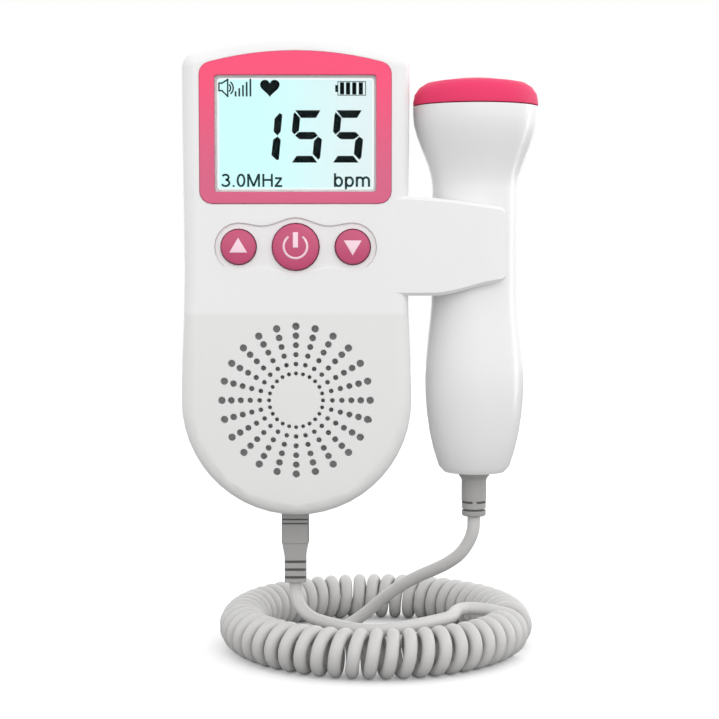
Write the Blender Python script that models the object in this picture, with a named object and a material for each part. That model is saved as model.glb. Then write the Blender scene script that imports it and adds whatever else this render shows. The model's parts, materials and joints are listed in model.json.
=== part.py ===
"""Fetal doppler: a pocket unit with a display, three buttons and a speaker grille, its handheld probe in
a side clip, and the curly cord between them, which lies in a ring below. Heights count from the unit's
lower end, depths from its flat back (0) to its front (negative), widths from its centre line."""

import math

import bmesh
import bpy
import numpy as np
from mathutils import Vector

# Every length is in metres.
CLEARANCE = 0.0003          # between neighbouring pieces
OVERRUN = 0.001             # how far a cut runs past what it cuts
ROOT_DEPTH = 0.001          # how deep a boss or an arm is rooted in its wall

# Main unit, outside. Its height is what the speaker, the buttons and the display take, one above another.
UNIT_DEPTH = 0.034
LOWER_RADIUS = 0.0326       # the round lower end
WAIST_HALF = 0.0315         # half width where the sides draw in
WAIST_HEIGHT = 0.068
SHOULDER_HALF = 0.0319      # half width below the top corners
SHOULDER_DROP = 0.015       # from the top to where the sides start to close in
TOP_RIM = 0.0045            # face left above the bezel
TOP_ARCH_RADIUS = 0.0956
TOP_CORNER = 0.0045
FRONT_EDGE = 0.0035         # rounding of the front's rim
BACK_EDGE = 0.004
WALL = 0.002
FACE_WALL = 0.0024          # front wall
BACK_WALL = 0.002
INNER_FILLET = 0.001
MOUNT_HEIGHT = 0.108        # where the flat back is held, above the lower end

# Display
BEZEL_HALF = 0.0266
BEZEL_HEIGHT = 0.0420
BEZEL_FROM_HOLLOW = 0.0042  # face left between the buttons' hollow and the bezel
BEZEL_ARCH_RADIUS = 0.095
BEZEL_CORNER = 0.0032
BEZEL_SEAT = 0.0012         # depth of its recess
BEZEL_PROUD = 0.0003        # how far it stands out of the face
VIEW_HALF = 0.0226          # the hole in the bezel
VIEW_LOWER_RIM = 0.0031
VIEW_UPPER_RIM = 0.0065     # at the middle of the arch
VIEW_CORNER = 0.0008
PANE_LEDGE = 0.0007         # pale rim that the window rests on
LCD_MARGIN = 0.0005         # glass beyond the view
LCD_THICKNESS = 0.002
BACKLIGHT_THICKNESS = 0.003
BOARD_THICKNESS = 0.0016
BOARD_HALF = 0.0222
BOARD_BELOW_BUTTONS = 0.0177
BOARD_BELOW_BEZEL = 0.0043  # from the top of the bezel to the top of the board
BOARD_CORNER = 0.002

# Buttons
HOLLOW_FROM_GRILLE = 0.01317    # face left between the grille and the buttons' hollow
BUTTON_SPACING = 0.016
POWER_RADIUS = 0.0065
VOLUME_RADIUS = 0.00486
BUTTON_PROUD = 0.0009
BUTTON_CROWN = 0.0006       # rise of the domed top
BUTTON_FLANGE = 0.001       # flange beyond the hole
FLANGE_THICKNESS = 0.0011
BUTTON_TRAVEL = 0.0006
HOLLOW_DEPTH = 0.0005       # the moulded hollow round the buttons
HOLLOW_MIDDLE = 0.0081      # its half height at the power button
HOLLOW_NECK = 0.0057
HOLLOW_NECK_X = 0.00915
HOLLOW_END = 0.0066         # its round ends
SWITCH_HALF = 0.003
PLUNGER_RADIUS = 0.0017
PLUNGER_HEIGHT = 0.0006

# Speaker and grille
SPEAKER_RISE = 0.0004       # above the middle of the round lower end
SPOKES = 24
GRILLE_RINGS = 6
GRILLE_INNER = 0.0076
GRILLE_OUTER = 0.0209
SMALL_HOLE = 0.00056
LARGE_HOLE = 0.00103
MESH_RADIUS = 0.022
MESH_THICKNESS = 0.0003
BASKET_RADIUS = 0.022
BASKET_RIM = 0.0012
BASKET_DEPTH = 0.0066
BASKET_WALL = 0.0009
BASKET_BACK = 0.0095        # radius of its narrow end
CONE_WALL = 0.0005
CONE_DEPTH = 0.0034
VOICE_RADIUS = 0.006
MAGNET_RADIUS = 0.011
MAGNET_THICKNESS = 0.004

# Battery compartment and door
CELL_LENGTH = 0.0505
CELL_RADIUS = 0.0071
NUB_LENGTH = 0.0013
NUB_RADIUS = 0.00275
CELL_BEVEL = 0.0004
CELL_GAP = 0.0006           # between the two cells
POCKET_BOTTOM = 0.031
SPRING_LENGTH = 0.0036
PLATE_THICKNESS = 0.0004
PLATE_HALF = 0.0058
POCKET_SIDE = 0.0004        # play beside the cells
POCKET_WALL = 0.0014
POCKET_CORNER = 0.001
DOOR_THICKNESS = 0.0018
DOOR_LEDGE = 0.002          # door beyond the pocket, at each end
DOOR_CORNER = 0.0025
DOOR_CELL_GAP = 0.0008
HOOK_X = 0.0133
HOOK_HALF = 0.0011
HOOK_LEG = 0.0014
HOOK_REACH = 0.0018         # how far the hooks pass below the door
HOOK_DEPTH = 0.0034         # hook's inner face, from the back
HOOK_THICKNESS = 0.001
HOOK_ROOM = 0.0009          # room that the hooks swing in
GRIP_GROOVES = 4
GRIP_HALF = 0.007
GRIP_PITCH = 0.0022
GRIP_HEIGHT = 0.001
GRIP_DEPTH = 0.0006
GRIP_FROM_TOP = 0.004
SPRING_WIRE = 0.0003        # wire radius
SPRING_WIDE = 0.0045
SPRING_NARROW = 0.0028
SPRING_TURNS = 3
SPRING_STEPS = 8

# Case screws
BOSS_RADIUS = 0.0031
SCREW_FROM_GLASS = 0.0004   # from the upper bosses to the display's glass
SCREW_DROP = 0.0165         # from the top to the upper screws
SCREW_FROM_DOOR = 0.0051    # from the lower bosses to the battery door
SCREW_LOWER_HEIGHT = 0.050
SCREW_HEAD_RADIUS = 0.0021
SCREW_HEAD_HEIGHT = 0.0015
SCREW_SUNK = 0.001
SCREW_SHANK_RADIUS = 0.00115
SCREW_LENGTH = 0.0225
DRIVE_HALF = 0.0011
DRIVE_SLOT = 0.00025
DRIVE_DEPTH = 0.0007

# Headphone jack, in the left side
JACK_FROM_BOSS = 0.0112     # from the jack's flange to the screw boss above it
JACK_RADIUS = 0.0031
JACK_BORE = 0.0018
JACK_LENGTH = 0.0068
JACK_FLANGE = 0.0042
JACK_FLANGE_THICKNESS = 0.0012
JACK_FLOOR = 0.001

# Probe
WAIST_RADIUS = 0.0124
HEAD_RADIUS = 0.018
GRIP_RADIUS = 0.0143
PROBE_X = 0.0513
PROBE_BOTTOM = 0.011
TAIL_EDGE = 0.0126
TAIL_SPAN = 0.0365          # half height of the ellipse that the tail follows
TAIL_FLAT = 0.0088
GRIP_MIDDLE = 0.038
WAIST_LOW = 0.065
WAIST_HIGH = 0.093
HEAD_LOW = 0.114
CAP_EDGE = 0.1166
CAP_SIDE_TOP = 0.1175
CAP_TOP = 0.1245
CAP_DOME_DROP = 0.0011      # how far the dome has fallen where its rounded rim starts
CAP_RIM = 0.006             # width of the rounded rim
CAP_WALL = 0.0022
PROBE_WALL = 0.0018
PROBE_FLOOR = 0.006
SPIGOT_WALL = 0.0014
SPIGOT_LENGTH = 0.0035
CRYSTAL_MARGIN = 0.003      # backing that shows round the crystals
CRYSTAL_THICKNESS = 0.0008
CRYSTAL_GAP = 0.0006
BACKING_PLAY = 0.002        # round the backing, inside the spigot
BACKING_THICKNESS = 0.0034
PROBE_BOARD_THICKNESS = 0.0012

# Clip arms that hold the probe's waist
CLIP_PLAY = 0.0003
ARM_THICKNESS = 0.0029
ARM_BELOW_WAIST = 0.0025    # from the top of the probe's waist to the top of the arm
ARM_PAST_WAIST = 0.0025     # from the foot of the waist down to the foot of the arm
ARM_SLOPE_X = 0.031         # where the top edge starts to fall
ARM_SLOPE_POWER = 1.35      # above one, the fall grows towards the tip
ARM_TAPER_X = 0.0385        # where the lower edge starts to rise
ARM_TIP_X = 0.0592
ARM_TOP_DROP = 0.0033
ARM_BOTTOM_RISE = 0.0039
ARM_TIP_CORNER = 0.0019
ARM_TIP_BACK = 0.0019       # how far the outer face curves back at the tip
ARM_EDGE = 0.0009
ARM_STATION_SHARES = (0.35, 0.6, 0.75, 0.88, 0.96, 1.0)

# Strain relief of the probe
COLLAR_RADIUS = 0.0045
COLLAR_LENGTH = 0.0018
RELIEF_TOP_RADIUS = 0.0037
RELIEF_LOW_RADIUS = 0.0032
RELIEF_LENGTH = 0.0128
RELIEF_RIBS = 3
RIB_PITCH = 0.0024
RIB_GROOVE = 0.0008
RIB_DEPTH = 0.0007

# Plug and its socket
PLUG_X = -0.0008
PLUG_HALF = 0.0039
PLUG_DEPTH_HALF = 0.0032
PLUG_INSERTED = 0.0095
PLUG_BOTTOM = -0.0099
PLUG_CORNER = 0.0006
PLUG_BAND_TOP = -0.0026     # first of the grooves under the unit
PLUG_BAND_PITCH = 0.0012
PLUG_BAND_HEIGHT = 0.0004
PLUG_BAND_DEPTH = 0.0004
LATCH_HALF = 0.0016
LATCH_RISE = 0.0009
BOOT_TOP_HALF = 0.0038
BOOT_LOW_HALF = 0.0031
BOOT_WAIST = -0.0138
BOOT_BOTTOM = -0.0214
BOOT_SLOTS = 3
BOOT_SLOT_TOP = -0.0149
BOOT_SLOT_PITCH = 0.0023
BOOT_SLOT_HEIGHT = 0.0007
BOOT_SLOT_DEPTH = 0.0007
CONTACT_COUNT = 4
CONTACT_PITCH = 0.00127
CONTACT_HALF = 0.00025
CONTACT_DEPTH = 0.0009
CONTACT_BAR = 0.0004
CONTACT_LENGTH = 0.003
SOCKET_WALL = 0.0012
SOCKET_TOP = 0.0125

# Cord, and the ring that it lies in
CORD_DIAMETER = 0.0037
FLOOR_HEIGHT = -0.0422
RING_X = 0.0227
RING_Y = -0.0118
RING_RADIUS = 0.0393
CURL_DIAMETER = 0.0139      # over the outside of a curl
CURL_PITCH = 0.00397        # between curls, on the inside of the ring
FULL_CURLS = 52
CURL_POINTS = 8
RING_START = -17.0          # degrees, from the right towards the back
CURL_START = 84.0           # degrees, from outward towards the top
CURL_END = -90.0            # on the floor
LEAD_STEP_SHARE = 1.0       # cord diameters from point to point of a lead
LEAD_RUN_SHARE = 0.5        # the straight run at each end of a lead, in cord diameters
ROUTE_STEPS = 16

# Where the leads pass, between their straight ends: from the plug, and from the probe.
UNIT_ROUTE = ((0.0000, -0.0197, -0.0273), (0.0020, -0.0226, -0.0297), (0.0046, -0.0262, -0.0308),
              (0.0074, -0.0298, -0.0310), (0.0102, -0.0332, -0.0310), (0.0131, -0.0365, -0.0310),
              (0.0163, -0.0393, -0.0310), (0.0201, -0.0416, -0.0309), (0.0243, -0.0429, -0.0305),
              (0.0288, -0.0428, -0.0300), (0.0331, -0.0417, -0.0295), (0.0372, -0.0398, -0.0291),
              (0.0407, -0.0372, -0.0289), (0.0434, -0.0339, -0.0289), (0.0448, -0.0301, -0.0290),
              (0.0455, -0.0262, -0.0291), (0.0468, -0.0229, -0.0291), (0.0492, -0.0207, -0.0291),
              (0.0523, -0.0202, -0.0293))
PROBE_ROUTE = ((0.0504, -0.0179, -0.0088), (0.0477, -0.0163, -0.0135), (0.0442, -0.0138, -0.0168),
               (0.0404, -0.0107, -0.0194), (0.0364, -0.0074, -0.0218), (0.0324, -0.0043, -0.0245),
               (0.0286, -0.0014, -0.0275), (0.0248, 0.0012, -0.0309), (0.0210, 0.0029, -0.0346),
               (0.0166, 0.0032, -0.0379), (0.0126, 0.0014, -0.0399), (0.0102, -0.0019, -0.0403),
               (0.0094, -0.0057, -0.0403), (0.0107, -0.0093, -0.0403), (0.0137, -0.0117, -0.0403),
               (0.0176, -0.0129, -0.0403), (0.0223, -0.0136, -0.0403), (0.0280, -0.0141, -0.0403),
               (0.0336, -0.0146, -0.0403), (0.0393, -0.0151, -0.0403), (0.0449, -0.0156, -0.0403))

# Counts of facets
ROUND = 32
SMALL_ROUND = 16
RIM_STEPS = 3

# Places that follow from the sizes above
SPEAKER_HEIGHT = LOWER_RADIUS + SPEAKER_RISE
BUTTON_HEIGHT = SPEAKER_HEIGHT + GRILLE_OUTER + LARGE_HOLE + HOLLOW_FROM_GRILLE + HOLLOW_MIDDLE
BEZEL_BOTTOM = BUTTON_HEIGHT + HOLLOW_MIDDLE + BEZEL_FROM_HOLLOW
BEZEL_TOP = BEZEL_BOTTOM + BEZEL_HEIGHT
VIEW_BOTTOM = BEZEL_BOTTOM + VIEW_LOWER_RIM
VIEW_TOP = BEZEL_TOP - VIEW_UPPER_RIM
UNIT_HEIGHT = BEZEL_TOP + TOP_RIM
SHOULDER_HEIGHT = UNIT_HEIGHT - SHOULDER_DROP
BOARD_BOTTOM = BUTTON_HEIGHT - BOARD_BELOW_BUTTONS
BOARD_TOP = BEZEL_TOP - BOARD_BELOW_BEZEL
SCREW_UPPER_HEIGHT = UNIT_HEIGHT - SCREW_DROP
JACK_HEIGHT = SCREW_UPPER_HEIGHT - BOSS_RADIUS - JACK_FLANGE - JACK_FROM_BOSS
ARM_TOP = WAIST_HIGH - ARM_BELOW_WAIST
ARM_BOTTOM = WAIST_LOW - ARM_PAST_WAIST
SPIGOT_RADIUS = HEAD_RADIUS - PROBE_WALL - CLEARANCE
BACKING_RADIUS = SPIGOT_RADIUS - SPIGOT_WALL - BACKING_PLAY
CRYSTAL_RADIUS = BACKING_RADIUS - CRYSTAL_MARGIN
FRONT_Y = -UNIT_DEPTH
FACE_INNER_Y = FRONT_Y + FACE_WALL
SLOT_RADIUS = WAIST_RADIUS + CLIP_PLAY
PROBE_Y = FRONT_Y + ARM_THICKNESS + SLOT_RADIUS
SEAM_Y = PROBE_Y
LCD_Y = FACE_INNER_Y + CLEARANCE
BACKLIGHT_Y = LCD_Y + LCD_THICKNESS + CLEARANCE
BOARD_Y = BACKLIGHT_Y + BACKLIGHT_THICKNESS + CLEARANCE
BASKET_Y = LCD_Y + MESH_THICKNESS + CLEARANCE
CELL_Y = -(DOOR_THICKNESS + DOOR_CELL_GAP + CELL_RADIUS)
CELL_X = CELL_RADIUS + CELL_GAP / 2
POCKET_HALF = CELL_X + CELL_RADIUS + POCKET_SIDE
POCKET_LENGTH = CELL_LENGTH + SPRING_LENGTH + 2 * PLATE_THICKNESS + 4 * CLEARANCE
POCKET_TOP = POCKET_BOTTOM + POCKET_LENGTH
POCKET_Y = CELL_Y - CELL_RADIUS - CLEARANCE
DOOR_HALF = POCKET_HALF + POCKET_WALL
SCREW_UPPER = (VIEW_HALF + LCD_MARGIN + SCREW_FROM_GLASS + BOSS_RADIUS, SCREW_UPPER_HEIGHT)
SCREW_LOWER = (DOOR_HALF + SCREW_FROM_DOOR + BOSS_RADIUS, SCREW_LOWER_HEIGHT)
DOOR_BOTTOM = POCKET_BOTTOM - DOOR_LEDGE
DOOR_TOP = POCKET_TOP + DOOR_LEDGE
CURL_RADIUS = (CURL_DIAMETER - CORD_DIAMETER) / 2
CURL_TURN = FULL_CURLS * 360 + CURL_START - CURL_END
RING_TURN = CURL_TURN / 360 * math.degrees(CURL_PITCH / (RING_RADIUS - CURL_RADIUS))
SOCKET_BOTTOM = LOWER_RADIUS + CLEARANCE - math.sqrt(
    (LOWER_RADIUS - WALL) ** 2 - (abs(PLUG_X) + PLUG_HALF + CLEARANCE + SOCKET_WALL) ** 2)


def clear_scene():
    for old in list(bpy.data.objects):
        bpy.data.objects.remove(old, do_unlink=True)


def finish(name, color, roughness, metallic=0.0):
    """A plain material of one colour."""
    material = bpy.data.materials.new(name)
    material.use_nodes = True
    shader = material.node_tree.nodes["Principled BSDF"]
    shader.inputs["Base Color"].default_value = (*color, 1.0)
    shader.inputs["Roughness"].default_value = roughness
    shader.inputs["Metallic"].default_value = metallic
    material.diffuse_color = (*color, 1.0)
    return material


def make_finishes():
    return {
        "white": finish("white_plastic", (0.82, 0.82, 0.81), 0.35),
        "pink": finish("pink_plastic", (0.80, 0.13, 0.24), 0.35),
        "button": finish("button_pink", (0.62, 0.10, 0.22), 0.4),
        "window": finish("window_clear", (0.75, 0.9, 0.9), 0.05),
        "display": finish("display_glass", (0.62, 0.97, 0.94), 0.2),
        "light_guide": finish("light_guide", (0.85, 0.93, 0.93), 0.3),
        "board": finish("board_green", (0.03, 0.22, 0.1), 0.45),
        "black": finish("black_plastic", (0.03, 0.03, 0.03), 0.4),
        "steel": finish("steel", (0.6, 0.6, 0.6), 0.3, 1.0),
        "gold": finish("gold_contact", (0.8, 0.55, 0.2), 0.25, 1.0),
        "paper": finish("speaker_paper", (0.08, 0.08, 0.09), 0.8),
        "cloth": finish("speaker_cloth", (0.12, 0.12, 0.12), 0.9),
        "cell": finish("cell_sleeve", (0.12, 0.13, 0.16), 0.3, 0.3),
        "ceramic": finish("crystal_ceramic", (0.7, 0.66, 0.5), 0.4),
        "resin": finish("backing_resin", (0.2, 0.19, 0.18), 0.6),
        "grey": finish("grey_plastic", (0.30, 0.30, 0.30), 0.45),
        "cord": finish("cord_grey", (0.52, 0.52, 0.52), 0.5),
    }


def add_empty(name, parent, place):
    empty = bpy.data.objects.new(name, None)
    bpy.context.collection.objects.link(empty)
    empty.parent = parent
    empty.location = place
    return empty


def add_object(name, data, material, parent, place=(0, 0, 0)):
    """Places a piece, or a hidden tool where it has no material."""
    piece = bpy.data.objects.new(name, data)
    bpy.context.collection.objects.link(piece)
    piece.parent = parent
    piece.location = place
    if material is None:
        piece.hide_render = True
        piece.display_type = "WIRE"
    else:
        data.materials.append(material)
    return piece


def combine(target, name, mesh, operation, frame, place=(0, 0, 0)):
    """Joins a hidden tool to a piece, or cuts it away."""
    tool = add_object(name, mesh, None, frame, place)
    modifier = target.modifiers.new(name, "BOOLEAN")
    modifier.operation = operation
    modifier.object = tool


def mesh_from(name, points, faces):
    """A closed mesh with its faces turned outwards, smooth except at its edges."""
    mesh = bpy.data.meshes.new(name)
    mesh.from_pydata([tuple(point) for point in points], [], faces)
    work = bmesh.new()
    work.from_mesh(mesh)
    bmesh.ops.recalc_face_normals(work, faces=work.faces)
    work.to_mesh(mesh)
    work.free()
    mesh.shade_smooth()
    mesh.set_sharp_from_angle(angle=math.radians(40))
    return mesh


def place_on(u, v, along, axis):
    """Puts a point of a flat outline into space, with the third value along the named axis."""
    return {"X": (along, u, v), "Y": (u, along, v), "Z": (u, v, along)}[axis]


def loft(name, rings):
    """Joins rings of equal point counts into one closed skin with flat ends."""
    count = len(rings[0])
    points = [point for ring in rings for point in ring]
    faces = [tuple(range(count)), tuple(range(len(points) - count, len(points)))]
    for level in range(len(rings) - 1):
        low = level * count
        for k in range(count):
            after = (k + 1) % count
            faces.append((low + k, low + after, low + count + after, low + count + k))
    return mesh_from(name, points, faces)


def prism(name, outline, axis, low, high):
    """Extrudes a flat outline along an axis."""
    return loft(name, [[place_on(u, v, along, axis) for u, v in outline] for along in (low, high)])


def block(name, x, y, z):
    corners = [(x[0], z[0]), (x[1], z[0]), (x[1], z[1]), (x[0], z[1])]
    return prism(name, corners, "Y", y[0], y[1])


def turned(name, profile, axis="Z", steps=ROUND, closed=False):
    """Turns a profile of (radius, height) points round an axis. A closed profile is a ring's section."""
    points = []
    rows = []
    for radius, height in profile:
        if radius <= 0:
            rows.append([len(points)])
            points.append(place_on(0, 0, height, axis))
            continue
        rows.append(list(range(len(points), len(points) + steps)))
        for k in range(steps):
            angle = 2 * math.pi * k / steps
            points.append(place_on(radius * math.cos(angle), radius * math.sin(angle), height, axis))
    pairs = list(zip(rows, rows[1:]))
    if closed:
        pairs.append((rows[-1], rows[0]))
    faces = []
    for low, high in pairs:
        for k in range(steps):
            after = (k + 1) % steps
            corners = (low[k % len(low)], low[after % len(low)], high[after % len(high)], high[k % len(high)])
            corners = tuple(dict.fromkeys(corners))
            if len(corners) > 2:
                faces.append(corners)
    return mesh_from(name, points, faces)


def rod(name, radius, axis, low, high, steps=SMALL_ROUND):
    return turned(name, [(0, low), (radius, low), (radius, high), (0, high)], axis, steps)


def arc(centre, radius, start, end, steps):
    """Points on an arc, both ends among them. Angles are in degrees."""
    points = []
    for k in range(steps + 1):
        angle = math.radians(start + (end - start) * k / steps)
        points.append((centre[0] + radius * math.cos(angle), centre[1] + radius * math.sin(angle)))
    return points


def rounded_rectangle(half, low, high, corner, steps=3):
    """A rectangle centred one way and from low to high the other, with rounded corners."""
    outline = arc((half - corner, low + corner), corner, -90, 0, steps)
    outline += arc((half - corner, high - corner), corner, 0, 90, steps)
    outline += arc((corner - half, high - corner), corner, 90, 180, steps)
    outline += arc((corner - half, low + corner), corner, 180, 270, steps)
    return outline


def smooth_step(share):
    share = min(max(share, 0.0), 1.0)
    return share * share * (3 - 2 * share)


def between(low, high, share):
    return low + (high - low) * share


def side_half(height):
    """Half width of the unit at a height: full at the round end, drawn in at the waist."""
    if height < WAIST_HEIGHT:
        return between(LOWER_RADIUS, WAIST_HALF,
                       smooth_step((height - LOWER_RADIUS) / (WAIST_HEIGHT - LOWER_RADIUS)))
    return between(WAIST_HALF, SHOULDER_HALF,
                   smooth_step((height - WAIST_HEIGHT) / (SHOULDER_HEIGHT - WAIST_HEIGHT)))


def arch_corner(half, top, arch_radius, corner):
    """Centre of a corner that touches both a side and the arch, and the angle where it meets the arch."""
    rise = math.sqrt((arch_radius - corner) ** 2 - (half - corner) ** 2)
    return (half - corner, top - arch_radius + rise), math.degrees(math.atan2(rise, half - corner))


def unit_outline(inset):
    """The unit seen from the front, drawn in all round by the inset."""
    corner, meet = arch_corner(SHOULDER_HALF, UNIT_HEIGHT, TOP_ARCH_RADIUS, TOP_CORNER)
    steps = 8
    heights = [between(LOWER_RADIUS, corner[1], k / steps) for k in range(1, steps)]
    outline = arc((0, LOWER_RADIUS), LOWER_RADIUS - inset, 180, 360, 26)
    outline += [(side_half(height) - inset, height) for height in heights]
    outline += arc(corner, TOP_CORNER - inset, 0, meet, 4)
    outline += arc((0, UNIT_HEIGHT - TOP_ARCH_RADIUS), TOP_ARCH_RADIUS - inset, meet, 180 - meet, 12)[1:-1]
    outline += arc((-corner[0], corner[1]), TOP_CORNER - inset, 180 - meet, 180, 4)
    outline += [(inset - side_half(height), height) for height in reversed(heights)]
    return outline


def half_shell(name, face_y, seam_y, edge, face_wall, material, frame):
    """One casing half: a rounded rim, side walls down to the seam, and the same again on the inside."""
    inward = 1 if seam_y > face_y else -1
    levels = []
    for k in range(RIM_STEPS + 1):
        angle = math.pi / 2 * k / RIM_STEPS
        levels.append((face_y + inward * edge * (1 - math.cos(angle)), edge * (1 - math.sin(angle))))
    levels.append((seam_y, 0))
    levels.append((seam_y, WALL))
    levels.append((face_y + inward * (face_wall + INNER_FILLET), WALL))
    levels.append((face_y + inward * face_wall, WALL + INNER_FILLET))
    rings = [[(x, y, z) for x, z in unit_outline(inset)] for y, inset in levels]
    return add_object(name, loft(name, rings), material, frame)


def arm_edges(x):
    """Top and bottom of a clip arm, which tapers to a round-cornered tip."""
    fall = min(max((x - ARM_SLOPE_X) / (ARM_TIP_X - ARM_SLOPE_X), 0.0), 1.0)
    rise = min(max((x - ARM_TAPER_X) / (ARM_TIP_X - ARM_TAPER_X), 0.0), 1.0)
    past = x - (ARM_TIP_X - ARM_TIP_CORNER)
    lost = 0.0
    if past > 0:
        lost = ARM_TIP_CORNER - math.sqrt(max(ARM_TIP_CORNER ** 2 - past ** 2, 0.0))
    top = ARM_TOP - ARM_TOP_DROP * fall ** ARM_SLOPE_POWER - lost
    return top, ARM_BOTTOM + ARM_BOTTOM_RISE * smooth_step(rise) + lost


def clip_arm(name, outer_y, inward, root):
    """Half of the clip: a saddle that the probe's waist lies against, and an arm along it to a thin tip.
    Each station is a place across the unit and the arm's thickness there."""
    reach = SLOT_RADIUS + ARM_THICKNESS
    saddle = reach - CLEARANCE
    stations = list(root)
    stations.append((root[-1][0] + CLEARANCE, saddle))
    for k in range(7):
        angle = math.radians(180 - 15 * k)
        thickness = reach - SLOT_RADIUS * math.sin(angle)
        stations.append((PROBE_X + SLOT_RADIUS * math.cos(angle), min(thickness, saddle)))
    stations += [(between(PROBE_X, ARM_TIP_X, share), ARM_THICKNESS) for share in ARM_STATION_SHARES]
    rings = []
    for x, thickness in stations:
        top, bottom = arm_edges(x)
        back = ARM_TIP_BACK * max((x - PROBE_X) / (ARM_TIP_X - PROBE_X), 0.0) ** 2
        if x < root[-1][0]:
            back = CLEARANCE
        edge = min(ARM_EDGE, (thickness - back) / 2)
        near = outer_y + inward * back
        bevel = outer_y + inward * (back + edge)
        far = outer_y + inward * thickness
        rings.append([(x, near, bottom + edge), (x, near, top - edge), (x, bevel, top),
                      (x, far, top), (x, far, bottom), (x, bevel, bottom)])
    return loft(name, rings)


def arched_outline(grow):
    """The bezel's outline: straight sides, round corners and an arched top, grown all round."""
    half = BEZEL_HALF + grow
    corner = BEZEL_CORNER + grow
    radius = BEZEL_ARCH_RADIUS + grow
    centre, meet = arch_corner(half, BEZEL_TOP + grow, radius, corner)
    outline = arc((half - corner, BEZEL_BOTTOM - grow + corner), corner, -90, 0, 4)
    outline += arc(centre, corner, 0, meet, 4)
    outline += arc((0, BEZEL_TOP + grow - radius), radius, meet, 180 - meet, 12)[1:-1]
    outline += arc((-centre[0], centre[1]), corner, 180 - meet, 180, 4)
    outline += arc((corner - half, BEZEL_BOTTOM - grow + corner), corner, 180, 270, 4)
    return outline


def hollow_half(x):
    """Half height of the hollow round the buttons: tall at the middle, necked, with round ends."""
    x = abs(x)
    if x > BUTTON_SPACING:
        return math.sqrt(max(HOLLOW_END ** 2 - (x - BUTTON_SPACING) ** 2, 0.0))
    if x > HOLLOW_NECK_X:
        share = (x - HOLLOW_NECK_X) / (BUTTON_SPACING - HOLLOW_NECK_X)
        return between(HOLLOW_NECK, HOLLOW_END, smooth_step(share))
    return between(HOLLOW_MIDDLE, HOLLOW_NECK, smooth_step(x / HOLLOW_NECK_X))


def hollow_outline():
    middle = [BUTTON_SPACING * k / 8 for k in range(-8, 9)]
    ends = [BUTTON_SPACING + HOLLOW_END * math.sin(math.radians(18 * k)) for k in range(1, 6)]
    across = [-x for x in reversed(ends)] + middle + ends
    upper = [(x, BUTTON_HEIGHT + hollow_half(x)) for x in reversed(across)]
    lower = [(x, BUTTON_HEIGHT - hollow_half(x)) for x in across[1:-1]]
    return upper + lower


def grille_tool():
    """All the speaker holes as one cutter: spokes of holes that grow outwards."""
    sides = 5
    points = []
    faces = []
    for ring in range(GRILLE_RINGS):
        share = ring / (GRILLE_RINGS - 1)
        radius = between(GRILLE_INNER, GRILLE_OUTER, share)
        hole = between(SMALL_HOLE, LARGE_HOLE, share)
        for spoke in range(SPOKES):
            angle = math.pi / 2 + 2 * math.pi * spoke / SPOKES
            centre = (radius * math.cos(angle), SPEAKER_HEIGHT + radius * math.sin(angle))
            outline = arc(centre, hole, 0, 360 - 360 / sides, sides - 1)
            start = len(points)
            for y in (FRONT_Y - OVERRUN, FACE_INNER_Y + OVERRUN):
                points += [(u, y, v) for u, v in outline]
            faces.append(tuple(start + k for k in range(sides)))
            faces.append(tuple(start + sides + k for k in reversed(range(sides))))
            for k in range(sides):
                after = (k + 1) % sides
                faces.append((start + after, start + k, start + sides + k, start + sides + after))
    return mesh_from("grille_tool", points, faces)


def screw_places():
    for x, height in (SCREW_UPPER, SCREW_LOWER):
        yield x, height
        yield -x, height


def plug_opening():
    """The way in for the plug, across the seam at the unit's lower end."""
    half = PLUG_HALF + CLEARANCE
    depth = PLUG_DEPTH_HALF + LATCH_RISE + 2 * CLEARANCE
    return block("plug_opening", (PLUG_X - half, PLUG_X + half), (SEAM_Y - depth, SEAM_Y + depth),
                 (-OVERRUN, SOCKET_BOTTOM + OVERRUN))


def jack_opening():
    """The round hole for the headphone jack, across the seam in the left side."""
    return rod("jack_opening", JACK_RADIUS + CLEARANCE, "X", -SHOULDER_HALF - OVERRUN,
               WALL + OVERRUN - SHOULDER_HALF)


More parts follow.
